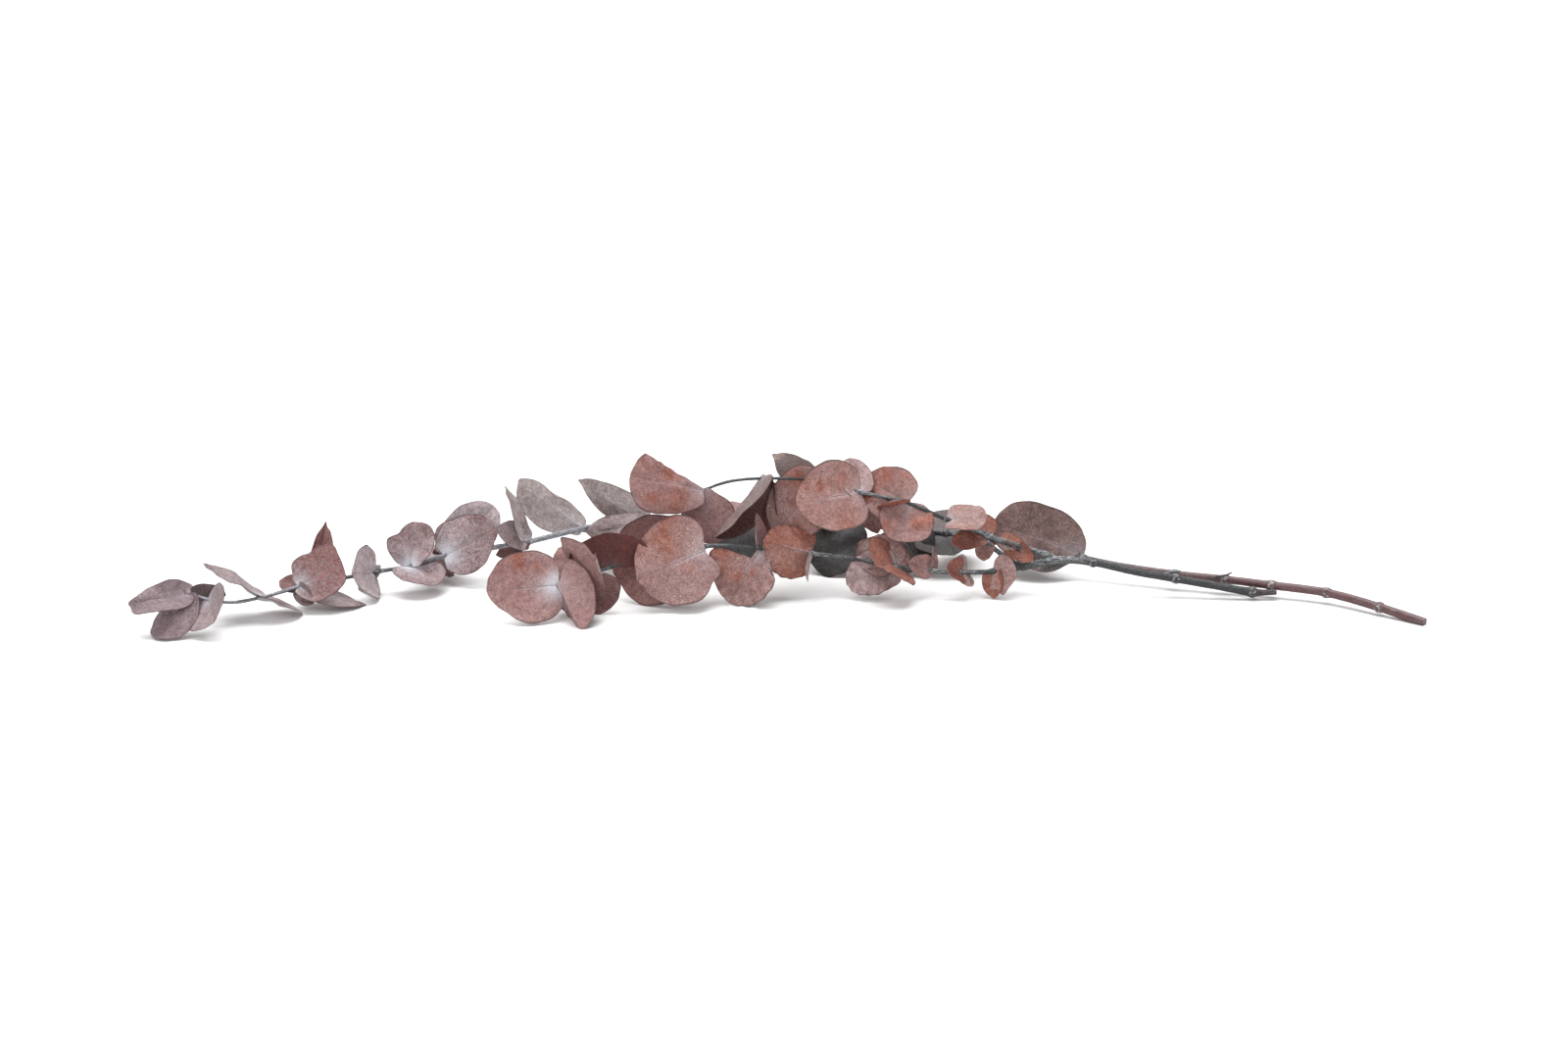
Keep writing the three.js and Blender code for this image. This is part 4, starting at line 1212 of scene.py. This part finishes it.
    def _mark(self, mesh: bpy.types.Mesh, upper: int, x: np.ndarray, y: np.ndarray) -> None:
        """Stores the leaf's colours and the places of its veins for the material.

        Args:
            mesh: The finished blade, upper face first.
            upper: How many points the upper face has.
            x, y: Their places in the flat leaf.
        """
        look = self.leaf.look.value
        count = len(mesh.vertices)
        blotch = np.zeros(upper)
        for patch in self.leaf.patches:
            near = ((x - patch.across) ** 2 + (2 * (y - patch.along)) ** 2) / (2 * patch.size) ** 2
            blotch += patch.strength * np.exp(-near * 2)
        blotch += self.fine.uniform(0.0, self.stray_blotch)
        tint = np.array(look.tint) * (1 + self.fine.uniform(-self.stray_shade, self.stray_shade))
        wax = look.bloom * hump(np.hypot(x, self.wax_squeeze * y), self.wax_reach)
        pale = np.zeros(count)
        pale_points = slice(upper, None) if self.leaf.pale_face < 0 else slice(0, upper)
        pale[pale_points] = look.pale
        write_colour(mesh, "tint", np.tile([*tint, 1.0], (count, 1)))
        write_colour(mesh, "patch", np.c_[np.tile(look.patch, (count, 1)), np.tile(blotch, 2)])
        marks = np.c_[np.full(upper, look.net), wax, np.full(upper, look.speckle), y]
        write_colour(mesh, "marks", np.tile(marks, (2, 1)))
        write_number(mesh, "pale", pale)
        write_number(mesh, "rib", np.tile(self.rib(x, y), 2))


# ---- finishes ------------------------------------------------------------------------------


class Graph:
    """Adds nodes to a node tree and joins them."""

    def __init__(self, tree: bpy.types.NodeTree) -> None:
        """Takes the tree to work in."""
        self.tree = tree

    def add(self, kind: str, inputs: Inputs | None = None, **settings: object) -> bpy.types.Node:
        """Adds a node.

        Args:
            kind: Blender's name for the kind of node.
            inputs: What to feed into its inputs, by their names or numbers.
            settings: Its properties.

        Returns:
            The node.
        """
        node = self.tree.nodes.new(kind)
        for name, value in settings.items():
            setattr(node, name, value)
        for name, value in (inputs or {}).items():
            self.feed(node.inputs[name], value)
        return node

    def feed(self, socket: Socket, value: Value) -> None:
        """Feeds an input.

        Args:
            socket: The input.
            value: An output to join to it, or a number or a colour to set it to.
        """
        if isinstance(value, Socket):
            self.tree.links.new(value, socket)
        elif isinstance(value, tuple) and socket.type == "RGBA":
            socket.default_value = (*value, 1.0)
        else:
            socket.default_value = value

    def math(self, operation: str, first: Value, second: Value = 0.0, clamp: bool = False) -> Socket:
        """Works out one operation, kept from 0 to 1 if it is clamped."""
        node = self.add("ShaderNodeMath", {0: first, 1: second}, operation=operation, use_clamp=clamp)
        return node.outputs[0]

    def plus(self, first: Value, second: Value) -> Socket:
        """Adds two values."""
        return self.math("ADD", first, second)

    def less(self, first: Value, second: Value) -> Socket:
        """Takes the second value from the first."""
        return self.math("SUBTRACT", first, second)

    def times(self, *factors: Value) -> Socket:
        """Multiplies values together."""
        return reduce(lambda product, factor: self.math("MULTIPLY", product, factor), factors)

    def most(self, *values: Value) -> Socket:
        """Gives the largest of the values."""
        return reduce(lambda most, value: self.math("MAXIMUM", most, value), values)

    def ramp(self, value: Value, start: float, rise: float) -> Socket:
        """Gives ``start`` where the value is 0 and ``rise`` more where it is 1."""
        return self.plus(start, self.times(value, rise))

    def step(self, value: Value, low: Value, high: Value, start: float = 0, end: float = 1) -> Socket:
        """Steps smoothly from ``start`` at ``low`` to ``end`` at ``high``."""
        inputs = {"Value": value, "From Min": low, "From Max": high, "To Min": start, "To Max": end}
        return self.add("ShaderNodeMapRange", inputs, interpolation_type="SMOOTHSTEP").outputs["Result"]

    def mix(self, share: Value, first: Value, second: Value, blend: str = "MIX") -> Socket:
        """Mixes two colours."""
        inputs = {0: share, 6: first, 7: second}
        return self.add("ShaderNodeMix", inputs, data_type="RGBA", blend_type=blend).outputs[2]

    def here(self, stretch: tuple[float, float, float] = (1, 1, 1)) -> Socket:
        """Gives the object coordinates, stretched along each axis."""
        place = self.add("ShaderNodeTexCoord").outputs["Object"]
        return self.add("ShaderNodeMapping", {"Vector": place, "Scale": stretch}).outputs["Vector"]

    def wandering(self, scale: float, reach: float) -> Socket:
        """Gives the object coordinates, pushed about so that a pattern on them is uneven.

        Args:
            scale: How fine the noise is that pushes them.
            reach: How far it pushes them, in metres.

        Returns:
            The coordinates.
        """
        place = self.here()
        noise = self.add("ShaderNodeTexNoise", {"Vector": place, "Scale": scale, "Detail": 2.0})
        inputs = {0: noise.outputs["Color"], 1: (reach, reach, reach), 2: place}
        return self.add("ShaderNodeVectorMath", inputs, operation="MULTIPLY_ADD").outputs["Vector"]

    def noise(self, where: Value, scale: Value, detail: float = 3, rough: float = 0.55) -> Socket:
        """Gives soft grey noise."""
        inputs = {"Vector": where, "Scale": scale, "Detail": detail, "Roughness": rough}
        return self.add("ShaderNodeTexNoise", inputs).outputs["Fac"]

    def cells(self, where: Value, scale: Value) -> Socket:
        """Gives the distance to the edges of irregular cells."""
        inputs = {"Vector": where, "Scale": scale}
        return self.add("ShaderNodeTexVoronoi", inputs, feature="DISTANCE_TO_EDGE").outputs["Distance"]

    def stored(self, name: str) -> Sockets:
        """Gives what is stored at the points under a name."""
        return self.add("ShaderNodeAttribute", attribute_type="GEOMETRY", attribute_name=name).outputs

    def use(self, group: bpy.types.NodeTree, inputs: Inputs) -> Sockets:
        """Places a shader group and gives its outputs."""
        return self.add("ShaderNodeGroup", inputs, node_tree=group).outputs


class Group(Graph):
    """The graph of a shader group, with numbers as its inputs and outputs."""

    def __init__(self, name: str, inputs: dict[str, float]) -> None:
        """Starts the group.

        Args:
            name: The group's name.
            inputs: Each input's name and its value where nothing is given.
        """
        super().__init__(bpy.data.node_groups.new(name, "ShaderNodeTree"))
        for label, value in inputs.items():
            self._open(label, "INPUT").default_value = value
        self.given = self.add("NodeGroupInput").outputs

    def _open(self, label: str, way: str) -> bpy.types.NodeTreeInterfaceSocket:
        """Gives the group one more input or output."""
        return self.tree.interface.new_socket(label, in_out=way, socket_type="NodeSocketFloat")

    def close(self, outputs: dict[str, Socket]) -> bpy.types.NodeTree:
        """Ends the group.

        Args:
            outputs: What the group gives, by name.

        Returns:
            The group's node tree.
        """
        for label in outputs:
            self._open(label, "OUTPUT")
        self.add("NodeGroupOutput", outputs)
        return self.tree


class Surface(Graph):
    """The graph of a new material."""

    def __init__(self, name: str) -> None:
        """Makes the material.

        Args:
            name: The material's name.
        """
        self.material = bpy.data.materials.new(name)
        self.material.use_nodes = True
        super().__init__(self.material.node_tree)

    def relief(self, height: Socket, depth: float, strength: float) -> Socket:
        """Gives the normal of a surface with a low relief, ``depth`` metres deep."""
        inputs = {"Height": height, "Distance": depth, "Strength": strength}
        return self.add("ShaderNodeBump", inputs).outputs["Normal"]

    def shade(self, inputs: Inputs) -> bpy.types.Material:
        """Feeds the material's shader.

        Args:
            inputs: What to feed into the shader's inputs, by name.

        Returns:
            The material.
        """
        shader = self.tree.nodes["Principled BSDF"]
        for name, value in inputs.items():
            self.feed(shader.inputs[name], value)
        return self.material


class Effects:
    """The shader groups that the finishes share, each built once."""

    def __init__(self) -> None:
        """Builds the groups."""
        self.grain = self._grain()
        self.blotches = self._blotches()
        self.veins = self._veins()
        self.bark_skin = self._bark_skin()

    @staticmethod
    def _grain() -> bpy.types.NodeTree:
        """Makes fine irregular specks, more of them as the cover grows.

        Returns:
            The group.
        """
        group = Group("fine_grain", {"Scale": 900.0, "Cover": 0.5, "Softness": 0.14})
        fine = group.noise(group.here(), group.given["Scale"], detail=4, rough=0.7)
        low = group.less(0.66, group.times(group.given["Cover"], 0.3))
        return group.close({"Specks": group.step(fine, low, group.plus(low, group.given["Softness"]))})

    @staticmethod
    def _blotches() -> bpy.types.NodeTree:
        """Makes broad soft patches, as a dye takes unevenly.

        Returns:
            The group.
        """
        group = Group("dye_blotches", {"Scale": 70.0, "Level": 0.5, "Softness": 0.1})
        broad = group.noise(group.wandering(120.0, 0.004), group.given["Scale"], detail=5, rough=0.6)
        low, high = (
            change(group.given["Level"], group.given["Softness"]) for change in (group.less, group.plus)
        )
        return group.close({"Blotches": group.step(broad, low, high)})

    @staticmethod
    def _veins() -> bpy.types.NodeTree:
        """Makes a leaf's midrib and its flanks, side veins, net of small veins and rim.

        The steps are in shares: of the half-width for the midrib, its flanks and the rim, of
        the way from vein to vein for the side veins, and of a cell for the net.

        Returns:
            The group.
        """
        group = Group("leaf_veins", {"Net Size": 420.0})
        across = group.stored("across")["Fac"]
        share = group.math("ABSOLUTE", across)
        sway = group.less(group.noise(group.here(), 70.0, detail=2), 0.5)
        line = group.math("ABSOLUTE", group.plus(across, group.times(sway, 0.09)))
        wander = group.noise(group.here(), 95.0, detail=4)
        rib = group.plus(group.stored("rib")["Fac"], group.times(wander, 1.3))
        vein = group.step(group.math("PINGPONG", rib, 0.5), 0.004, 0.035, 1, 0)
        some = group.step(group.noise(group.here(), 75.0, detail=2), 0.5, 0.62)
        uneven = group.wandering(420.0, 0.0018)
        wide = group.step(group.cells(uneven, group.given["Net Size"]), 0.01, 0.1, 1, 0)
        wide_share = group.step(group.noise(group.here(), 330.0), 0.4, 0.6, 0.4, 1)
        small_size = group.times(group.given["Net Size"], 2.3)
        small = group.step(group.cells(uneven, small_size), 0.02, 0.24, 0.7, 0)
        small_share = group.step(group.noise(group.here(), 520.0), 0.38, 0.58, 0.2, 1)
        return group.close({
            "Midrib": group.step(line, 0.003, 0.02, 1, 0),
            "Flanks": group.step(line, 0.01, 0.09, 1, 0),
            "Side Veins": group.times(vein, some, group.step(share, 0.3, 0.75, 1, 0)),
            "Net": group.most(group.times(wide, wide_share), group.times(small, small_share)),
            "Rim": group.step(share, 0.94, 0.985),
        })

    @staticmethod
    def _bark_skin() -> bpy.types.NodeTree:
        """Makes bark's lengthwise streaks, its flakes of wax and its fine ridges.

        Returns:
            The group.
        """
        group = Group("bark_skin", {"Grain": 1.0})
        grain = group.given["Grain"]
        streak, flake, ridge = (group.times(grain, scale) for scale in (1500.0, 800.0, 2600.0))
        run = group.stored("grain")["Vector"]
        return group.close({
            "Streaks": group.step(group.noise(run, streak, detail=4), 0.4, 0.6),
            "Flakes": group.step(group.noise(group.here((0.6, 1, 1)), flake, 6, 0.7), 0.48, 0.64),
            "Ridges": group.noise(run, ridge, detail=3),
        })


@dataclass(frozen=True)
class DriedLeaf:
    """The finish of the blades: dyed, dried, satin, with veins, grain and a dark rim.

    ``blotches`` gives a scale and a softness for the broad, the middle and the small ones,
    ``specks`` a scale and a cover for the light and the dark ones, ``wear`` how strongly the
    middle and small blotches and the dark specks darken the dye, and ``sunk`` how deep the
    veins lie in the relief.  Two numbers of one strength are its start and its rise.
    """

    name: str = "dried_leaf"
    pale_grain: Colour = linear(205, 186, 183)
    worn: Colour = (0.56, 0.5, 0.5)
    net_colour: Colour = linear(208, 206, 213)
    wax_colour: Colour = linear(212, 214, 222)
    under_grey: Colour = linear(200, 191, 189)
    rim_colour: Colour = linear(70, 44, 42)
    vein_colour: Colour = linear(62, 40, 42)
    blotches: tuple[tuple[float, float], ...] = ((60.0, 0.1), (230.0, 0.12), (620.0, 0.14))
    specks: tuple[tuple[float, float], ...] = ((1400.0, 0.56), (1000.0, 0.42))
    speck_softness: float = 0.2
    dye_shares: tuple[float, float] = (0.6, 0.4)
    dye_floor: float = 0.2
    wear: tuple[float, float, float] = (0.5, 0.75, 0.85)
    powder: tuple[float, float] = (0.2, 0.5)
    sunk: tuple[tuple[str, float], ...] = (("Midrib", 0.6), ("Side Veins", 0.35), ("Net", 0.3))
    net_size: float = 560.0
    net_strength: float = 0.8
    net_inside: float = 1.1
    net_fall: float = 0.6
    side_vein_strength: tuple[float, float] = (0.3, 0.4)
    midrib_strength: tuple[float, float] = (0.12, 0.6)
    stalk_nearness: float = 2.4
    stalk_wax: float = 1.4
    flank_wax: float = 0.8
    wax_grain: tuple[float, float] = (0.6, 0.6)
    thickest_wax: float = 0.85
    rim_strength: float = 0.75
    roughness: tuple[float, float] = (0.52, 0.15)
    specular: float = 0.35
    grain_rise: float = 0.25
    blotch_sink: float = 0.45
    relief_depth: float = 0.25 * MM
    relief_strength: float = 0.8

    def build(self, effects: Effects) -> bpy.types.Material:
        """Builds the material.

        Args:
            effects: The shared shader groups.

        Returns:
            The material.
        """
        leaf = Surface(self.name)
        marks = leaf.stored("marks")
        shares = leaf.add("ShaderNodeSeparateColor", {"Color": marks["Color"]}).outputs
        net_share, wax_share, grain_share = (shares[k] for k in range(3))
        along = marks["Alpha"]
        near = leaf.math("POWER", leaf.math("SUBTRACT", 1.0, along, clamp=True), self.stalk_nearness)
        veins = leaf.use(effects.veins, {"Net Size": self.net_size})
        broad, middle, small = (
            leaf.use(effects.blotches, {"Scale": scale, "Softness": soft})["Blotches"]
            for scale, soft in self.blotches
        )
        soft = {"Softness": self.speck_softness}
        light, dark = (
            leaf.use(effects.grain, {"Scale": scale, "Cover": cover, **soft})["Specks"]
            for scale, cover in self.specks
        )

        # The dye, with pale grain over it.
        colour = self._dye(leaf, broad, middle, (middle, small, dark))
        powder = leaf.ramp(leaf.less(1.0, broad), *self.powder)
        colour = leaf.mix(leaf.times(light, grain_share, powder), colour, self.pale_grain)

        # The net of small veins, and the side veins: dark where the leaf has no pale net.
        inner = leaf.less(self.net_inside, leaf.times(along, self.net_fall))
        inner = leaf.times(inner, self.net_strength)
        net = leaf.math("MULTIPLY", leaf.times(veins["Net"], net_share), inner, clamp=True)
        colour = leaf.mix(net, colour, self.net_colour)
        branch = leaf.mix(net_share, self.vein_colour, self.net_colour)
        strength = leaf.ramp(net_share, *self.side_vein_strength)
        colour = leaf.mix(leaf.times(veins["Side Veins"], strength), colour, branch)

        # White wax, at the stalk and along both sides of the midrib.
        dusty = leaf.math("MULTIPLY", grain_share, self.flank_wax, clamp=True)
        flank = leaf.times(veins["Flanks"], near, dusty)
        wax = leaf.most(leaf.times(wax_share, self.stalk_wax), flank)
        wax = leaf.times(wax, leaf.ramp(light, *self.wax_grain))
        colour = leaf.mix(leaf.math("MINIMUM", wax, self.thickest_wax), colour, self.wax_colour)

        # The midrib, which fades towards the tip, and the dark rim.
        fading = leaf.ramp(near, *self.midrib_strength)
        colour = leaf.mix(leaf.times(veins["Midrib"], fading), colour, self.vein_colour)
        colour = leaf.mix(leaf.times(veins["Rim"], self.rim_strength), colour, self.rim_colour)

        raised = leaf.plus(leaf.times(light, self.grain_rise), leaf.times(small, -self.blotch_sink))
        for label, depth in self.sunk:
            raised = leaf.less(raised, leaf.times(veins[label], depth))
        return leaf.shade({
            "Base Color": colour,
            "Roughness": leaf.ramp(light, *self.roughness),
            "Specular IOR Level": self.specular,
            "Normal": leaf.relief(raised, self.relief_depth, self.relief_strength),
        })

    def _dye(self, leaf: Surface, broad: Socket, middle: Socket, covers: tuple[Socket, ...]) -> Socket:
        """Mixes the uneven dye of the leaf.

        Args:
            leaf: The material's graph.
            broad, middle: The blotches that take the leaf's second colour.
            covers: What darkens the dye, in the order of ``wear``.

        Returns:
            The colour.
        """
        patch = leaf.stored("patch")
        spread = leaf.plus(*map(leaf.times, (broad, middle), self.dye_shares))
        soaked = leaf.math("MULTIPLY", patch["Alpha"], leaf.plus(spread, self.dye_floor), clamp=True)
        colour = leaf.mix(soaked, leaf.stored("tint")["Color"], patch["Color"])
        colour = leaf.mix(leaf.stored("pale")["Fac"], colour, self.under_grey)
        for cover, wear in zip(covers, self.wear):
            colour = leaf.mix(leaf.times(cover, wear), colour, self.worn, "MULTIPLY")
        return colour


@dataclass(frozen=True)
class BarkFinish:
    """The finish of a stem: its own colour, darker streaks and clinging white wax, whose extra whiteness
    on the upper side is a painted highlight.
    """

    name: str
    grain: float
    roughness: float
    streak_depth: float
    relief_strength: float
    wax_colour: Colour = linear(206, 208, 212)
    streak_colour: Colour = linear(34, 34, 36)
    node_colour: Colour = linear(40, 32, 32)
    speck_scale: float = 1500.0
    speck_cover: float = 0.6
    ring_strength: float = 0.6
    flake_strength: float = 0.8
    dust_strength: float = 0.6
    frost_strength: float = 0.6
    ridge_rise: float = 0.8
    wax_rise: float = 0.5
    wax_roughness: float = 0.2
    specular: float = 0.45
    relief_depth: float = 0.3 * MM

    def build(self, effects: Effects) -> bpy.types.Material:
        """Builds the material.

        Args:
            effects: The shared shader groups.

        Returns:
            The material.
        """
        bark = Surface(self.name)
        tint = bark.stored("tint")
        # The stored wax share is real wax plus a painted highlight on the stem's upper side.
        wax_and_highlight = tint["Alpha"]
        node = bark.stored("node")["Fac"]
        skin = bark.use(effects.bark_skin, {"Grain": self.grain})
        specks = bark.use(effects.grain, {"Scale": self.speck_scale, "Cover": self.speck_cover})["Specks"]
        streaks = bark.times(skin["Streaks"], self.streak_depth)
        colour = bark.mix(streaks, tint["Color"], self.streak_colour)
        ring = bark.times(bark.step(node, 0.75, 1.0), self.ring_strength)
        colour = bark.mix(ring, colour, self.node_colour)
        flakes = bark.times(skin["Flakes"], wax_and_highlight, self.flake_strength)
        dust = bark.times(specks, wax_and_highlight, self.dust_strength)
        lines = bark.times(bark.step(skin["Ridges"], 0.5, 0.68), wax_and_highlight)
        frost = bark.times(skin["Flakes"], bark.step(node, 0.15, 0.8), self.frost_strength)
        # This wax carries the painted highlight of the upper side as well.
        wax = bark.most(flakes, dust, lines, frost)
        raised = bark.plus(bark.times(skin["Ridges"], self.ridge_rise), bark.times(wax, self.wax_rise))
        return bark.shade({
            "Base Color": bark.mix(wax, colour, self.wax_colour),
            "Roughness": bark.ramp(wax, self.roughness, self.wax_roughness),
            "Specular IOR Level": self.specular,
            "Normal": bark.relief(raised, self.relief_depth, self.relief_strength),
        })


@dataclass
class Finishes:
    """Every finish of the branch, built once."""

    leaf: bpy.types.Material
    slate_bark: bpy.types.Material
    brown_bark: bpy.types.Material

    @classmethod
    def make(cls) -> "Finishes":
        """Builds the shared effects and the materials.

        Returns:
            The finishes.
        """
        effects = Effects()
        slate = BarkFinish("slate_bark", 1.0, roughness=0.6, streak_depth=0.75, relief_strength=0.8)
        brown = BarkFinish("brown_bark", 0.8, roughness=0.42, streak_depth=0.35, relief_strength=0.4)
        return cls(DriedLeaf().build(effects), slate.build(effects), brown.build(effects))


# ---- the branch ----------------------------------------------------------------------------


def finish_piece(
    piece: bpy.types.Object, material: bpy.types.Material, node: str
) -> bpy.types.Object:
    """Dresses a piece and puts it in place of the solid that it stands for.

    Args:
        piece: The piece, in place.
        material: Its finish.
        node: The solid that it replaces.

    Returns:
        The same piece.
    """
    piece.data.materials.clear()
    piece.data.materials.append(material)
    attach(piece, "root")
    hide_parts(node)
    return piece


@dataclass
class LeafyStem:
    """A stem, with any spur that it has, and the leaves that grow from them.

    A blade that stands ``shortest_stalk`` millimetres or more off its stem gets a stalk,
    which holds on to the blade over ``stalk_hold`` of the leaf's reach.
    """

    node: str
    routes: tuple[Route, ...]
    leaves: tuple[Leaf, ...]
    bark_slot: str
    bark: bpy.types.Material
    blade: bpy.types.Material
    girth: float = 1.0

    shortest_stalk: float = 0.8
    stalk_radius: float = 0.6
    stalk_hold: float = 0.05
    smooth_angle: float = math.radians(45)
    seeds: int = 1 << 30

    def build(
        self, draws: Draws, fine: np.random.Generator, blanks: dict[bool, LeafBlank]
    ) -> list[bpy.types.Object]:
        """Builds the bark and the leaves, and puts them in place of the solid.

        Args:
            draws: The random source of the rims' ripple.
            fine: The random source of what is finer.
            blanks: The flat leaf for small leaves (True) and for the others (False).

        Returns:
            The bark and the leaves.
        """
        name = f"{self.node}_bark"
        stems = [Stem(name, route, self.girth).build() for route in [*self.routes, *self.stalks()]]
        bark = finish_piece(join(stems, name), self.bark, self.node)
        feet = self.feet()
        blades = []
        for leaf in self.leaves:
            own = np.random.default_rng(int(fine.integers(self.seeds)))
            blade = Blade(leaf, EYE.place(feet[leaf.node].seen), draws, own)
            blades.append(blade.grow(blanks[blade.small]))
        leaves = join(blades, f"{self.node}_leaves")
        take(leaves)
        bpy.ops.object.shade_smooth_by_angle(angle=self.smooth_angle)
        return [bark, finish_piece(leaves, self.blade, self.node)]

    def feet(self) -> dict[str, Stop]:
        """Gives the stop at each of the stem's leaf nodes, by the node's name."""
        return {stop.node: stop for route in self.routes for stop in route if stop.node}

    def stalks(self) -> list[Route]:
        """Lays out the short stalk of each leaf whose blade stands off the stem.

        Returns:
            The stalks' routes.
        """
        feet = self.feet()
        stalks = []
        for leaf in self.leaves:
            if math.hypot(*leaf.shift) >= self.shortest_stalk:
                foot = feet[leaf.node]
                run = np.array(leaf.shift) + self.stalk_hold * np.array(leaf.reach)
                places = [np.array(foot.seen) + share * run for share in (0, 0.5, 1)]
                stalks.append(tuple(Stop(*place, self.stalk_radius, foot.bark) for place in places))
        return stalks


@dataclass
class SideBranch:
    """The dark woody branch between the main stem and the fork."""

    bark: bpy.types.Material
    node: str = "side_branch"

    def build(self) -> list[bpy.types.Object]:
        """Builds the bark and puts it in place of the solid."""
        piece = Stem("side_branch_bark", SIDE_ROUTE).build()
        return [finish_piece(piece, self.bark, self.node)]


@dataclass
class Studio:
    """A plain pale floor, soft lights and the camera."""

    floor_size: float = 14.0
    floor_drop: float = 0.05 * MM
    floor_colour: Colour = (0.9, 0.9, 0.9)
    floor_roughness: float = 0.9
    world_strength: float = 0.55
    top_place: tuple[float, float, float] = (-0.1, 0.45, 1.9)
    top_energy: float = 3.3
    top_angle: float = math.radians(48)
    front_place: tuple[float, float, float] = (-0.9, -1.6, 1.5)
    front_energy: float = 14
    front_size: float = 1.2
    sensor_width: float = 36
    clip_end: float = 30

    def build(self) -> None:
        """Builds the floor, the lights and the camera."""
        self.add_floor()
        self.add_lights()
        self.add_camera()

    def add_floor(self) -> None:
        """Adds the floor, which is no part of the branch."""
        clear_selection()
        bpy.ops.mesh.primitive_plane_add(size=self.floor_size, location=(0, 0, -self.floor_drop))
        floor = bpy.context.object
        floor.name = "studio_floor"
        look = {"Base Color": self.floor_colour, "Roughness": self.floor_roughness}
        floor.data.materials.append(Surface("studio_floor").shade(look))

    def add_lights(self) -> None:
        """Adds a pale world and two soft lights."""
        world = bpy.data.worlds.new("studio_world")
        world.use_nodes = True
        sky = world.node_tree.nodes["Background"].inputs
        sky["Color"].default_value = (1, 1, 1, 1)
        sky["Strength"].default_value = self.world_strength
        bpy.context.scene.world = world
        top = self.add_light("top_light", "SUN", self.top_place, self.top_energy)
        top.angle = self.top_angle
        front = self.add_light("front_light", "AREA", self.front_place, self.front_energy)
        front.size = self.front_size

    @staticmethod
    def add_light(
        name: str, kind: str, place: tuple[float, float, float], energy: float
    ) -> bpy.types.Light:
        """Adds a light that points at the branch.

        Args:
            name: The light's name.
            kind: Blender's name for the kind of light.
            place: Where it stands, in metres.
            energy: Its strength, in the units of its kind.

        Returns:
            The light's data, for what only its kind has.
        """
        bpy.ops.object.light_add(type=kind, location=place)
        light = bpy.context.object
        light.name = name
        light.data.energy = energy
        aim = -np.array(place) / np.linalg.norm(place)
        light.rotation_euler = (math.acos(-aim[2]), 0, math.atan2(-aim[0], aim[1]))
        return light.data

    def add_camera(self) -> None:
        """Adds the camera, which looks at the branch from in front and a little above."""
        away = EYE.turn((0, 0, EYE.distance))
        bpy.ops.object.camera_add(
            location=tuple(EYE.place((0, 0, 0)) - away),
            rotation=(math.pi / 2 - EYE.look_down, 0, 0),
        )
        camera = bpy.context.object
        camera.data.lens = EYE.focal_length
        camera.data.sensor_width = self.sensor_width
        camera.data.clip_end = self.clip_end
        bpy.context.scene.camera = camera
        bpy.context.scene.view_settings.view_transform = "Standard"


def main() -> None:
    """Builds the branch and the studio round it, and reports each piece."""
    logging.basicConfig(level=logging.INFO, format="%(name)s: %(message)s")
    finishes = Finishes.make()
    slate = ("slate_bark", finishes.slate_bark, finishes.leaf)
    brown = ("brown_bark", finishes.brown_bark, finishes.leaf)
    blanks = {
        False: LeafBlank("large_blank", LARGE_COLUMNS, LARGE_ROWS),
        True: LeafBlank("small_blank", SMALL_COLUMNS, SMALL_ROWS),
    }
    draws = Draws(RIM_SEED)
    fine = np.random.default_rng(FINE_SEED)
    lower_routes = (LOWER_ROUTE, SPUR_ROUTE)
    stems = (
        LeafyStem("upper_leafy_twig", (UPPER_ROUTE,), UPPER_LEAVES, *slate, girth=0.85),
        LeafyStem("lower_leafy_twig", lower_routes, LOWER_LEAVES + SPUR_LEAVES, *slate, girth=0.88),
        LeafyStem("main_leafy_stem", (MAIN_ROUTE, *MAIN_STUBS), MAIN_LEAVES, *brown),
    )
    pieces = [piece for stem in stems for piece in stem.build(draws, fine, blanks)]
    pieces += SideBranch(finishes.slate_bark).build()
    for piece in pieces:
        piece.data.calc_loop_triangles()
        log.info("%s: %d triangles", piece.name, len(piece.data.loop_triangles))
    for blank in blanks.values():
        blank.remove()
    Studio().build()


if __name__ == "__main__":
    main()
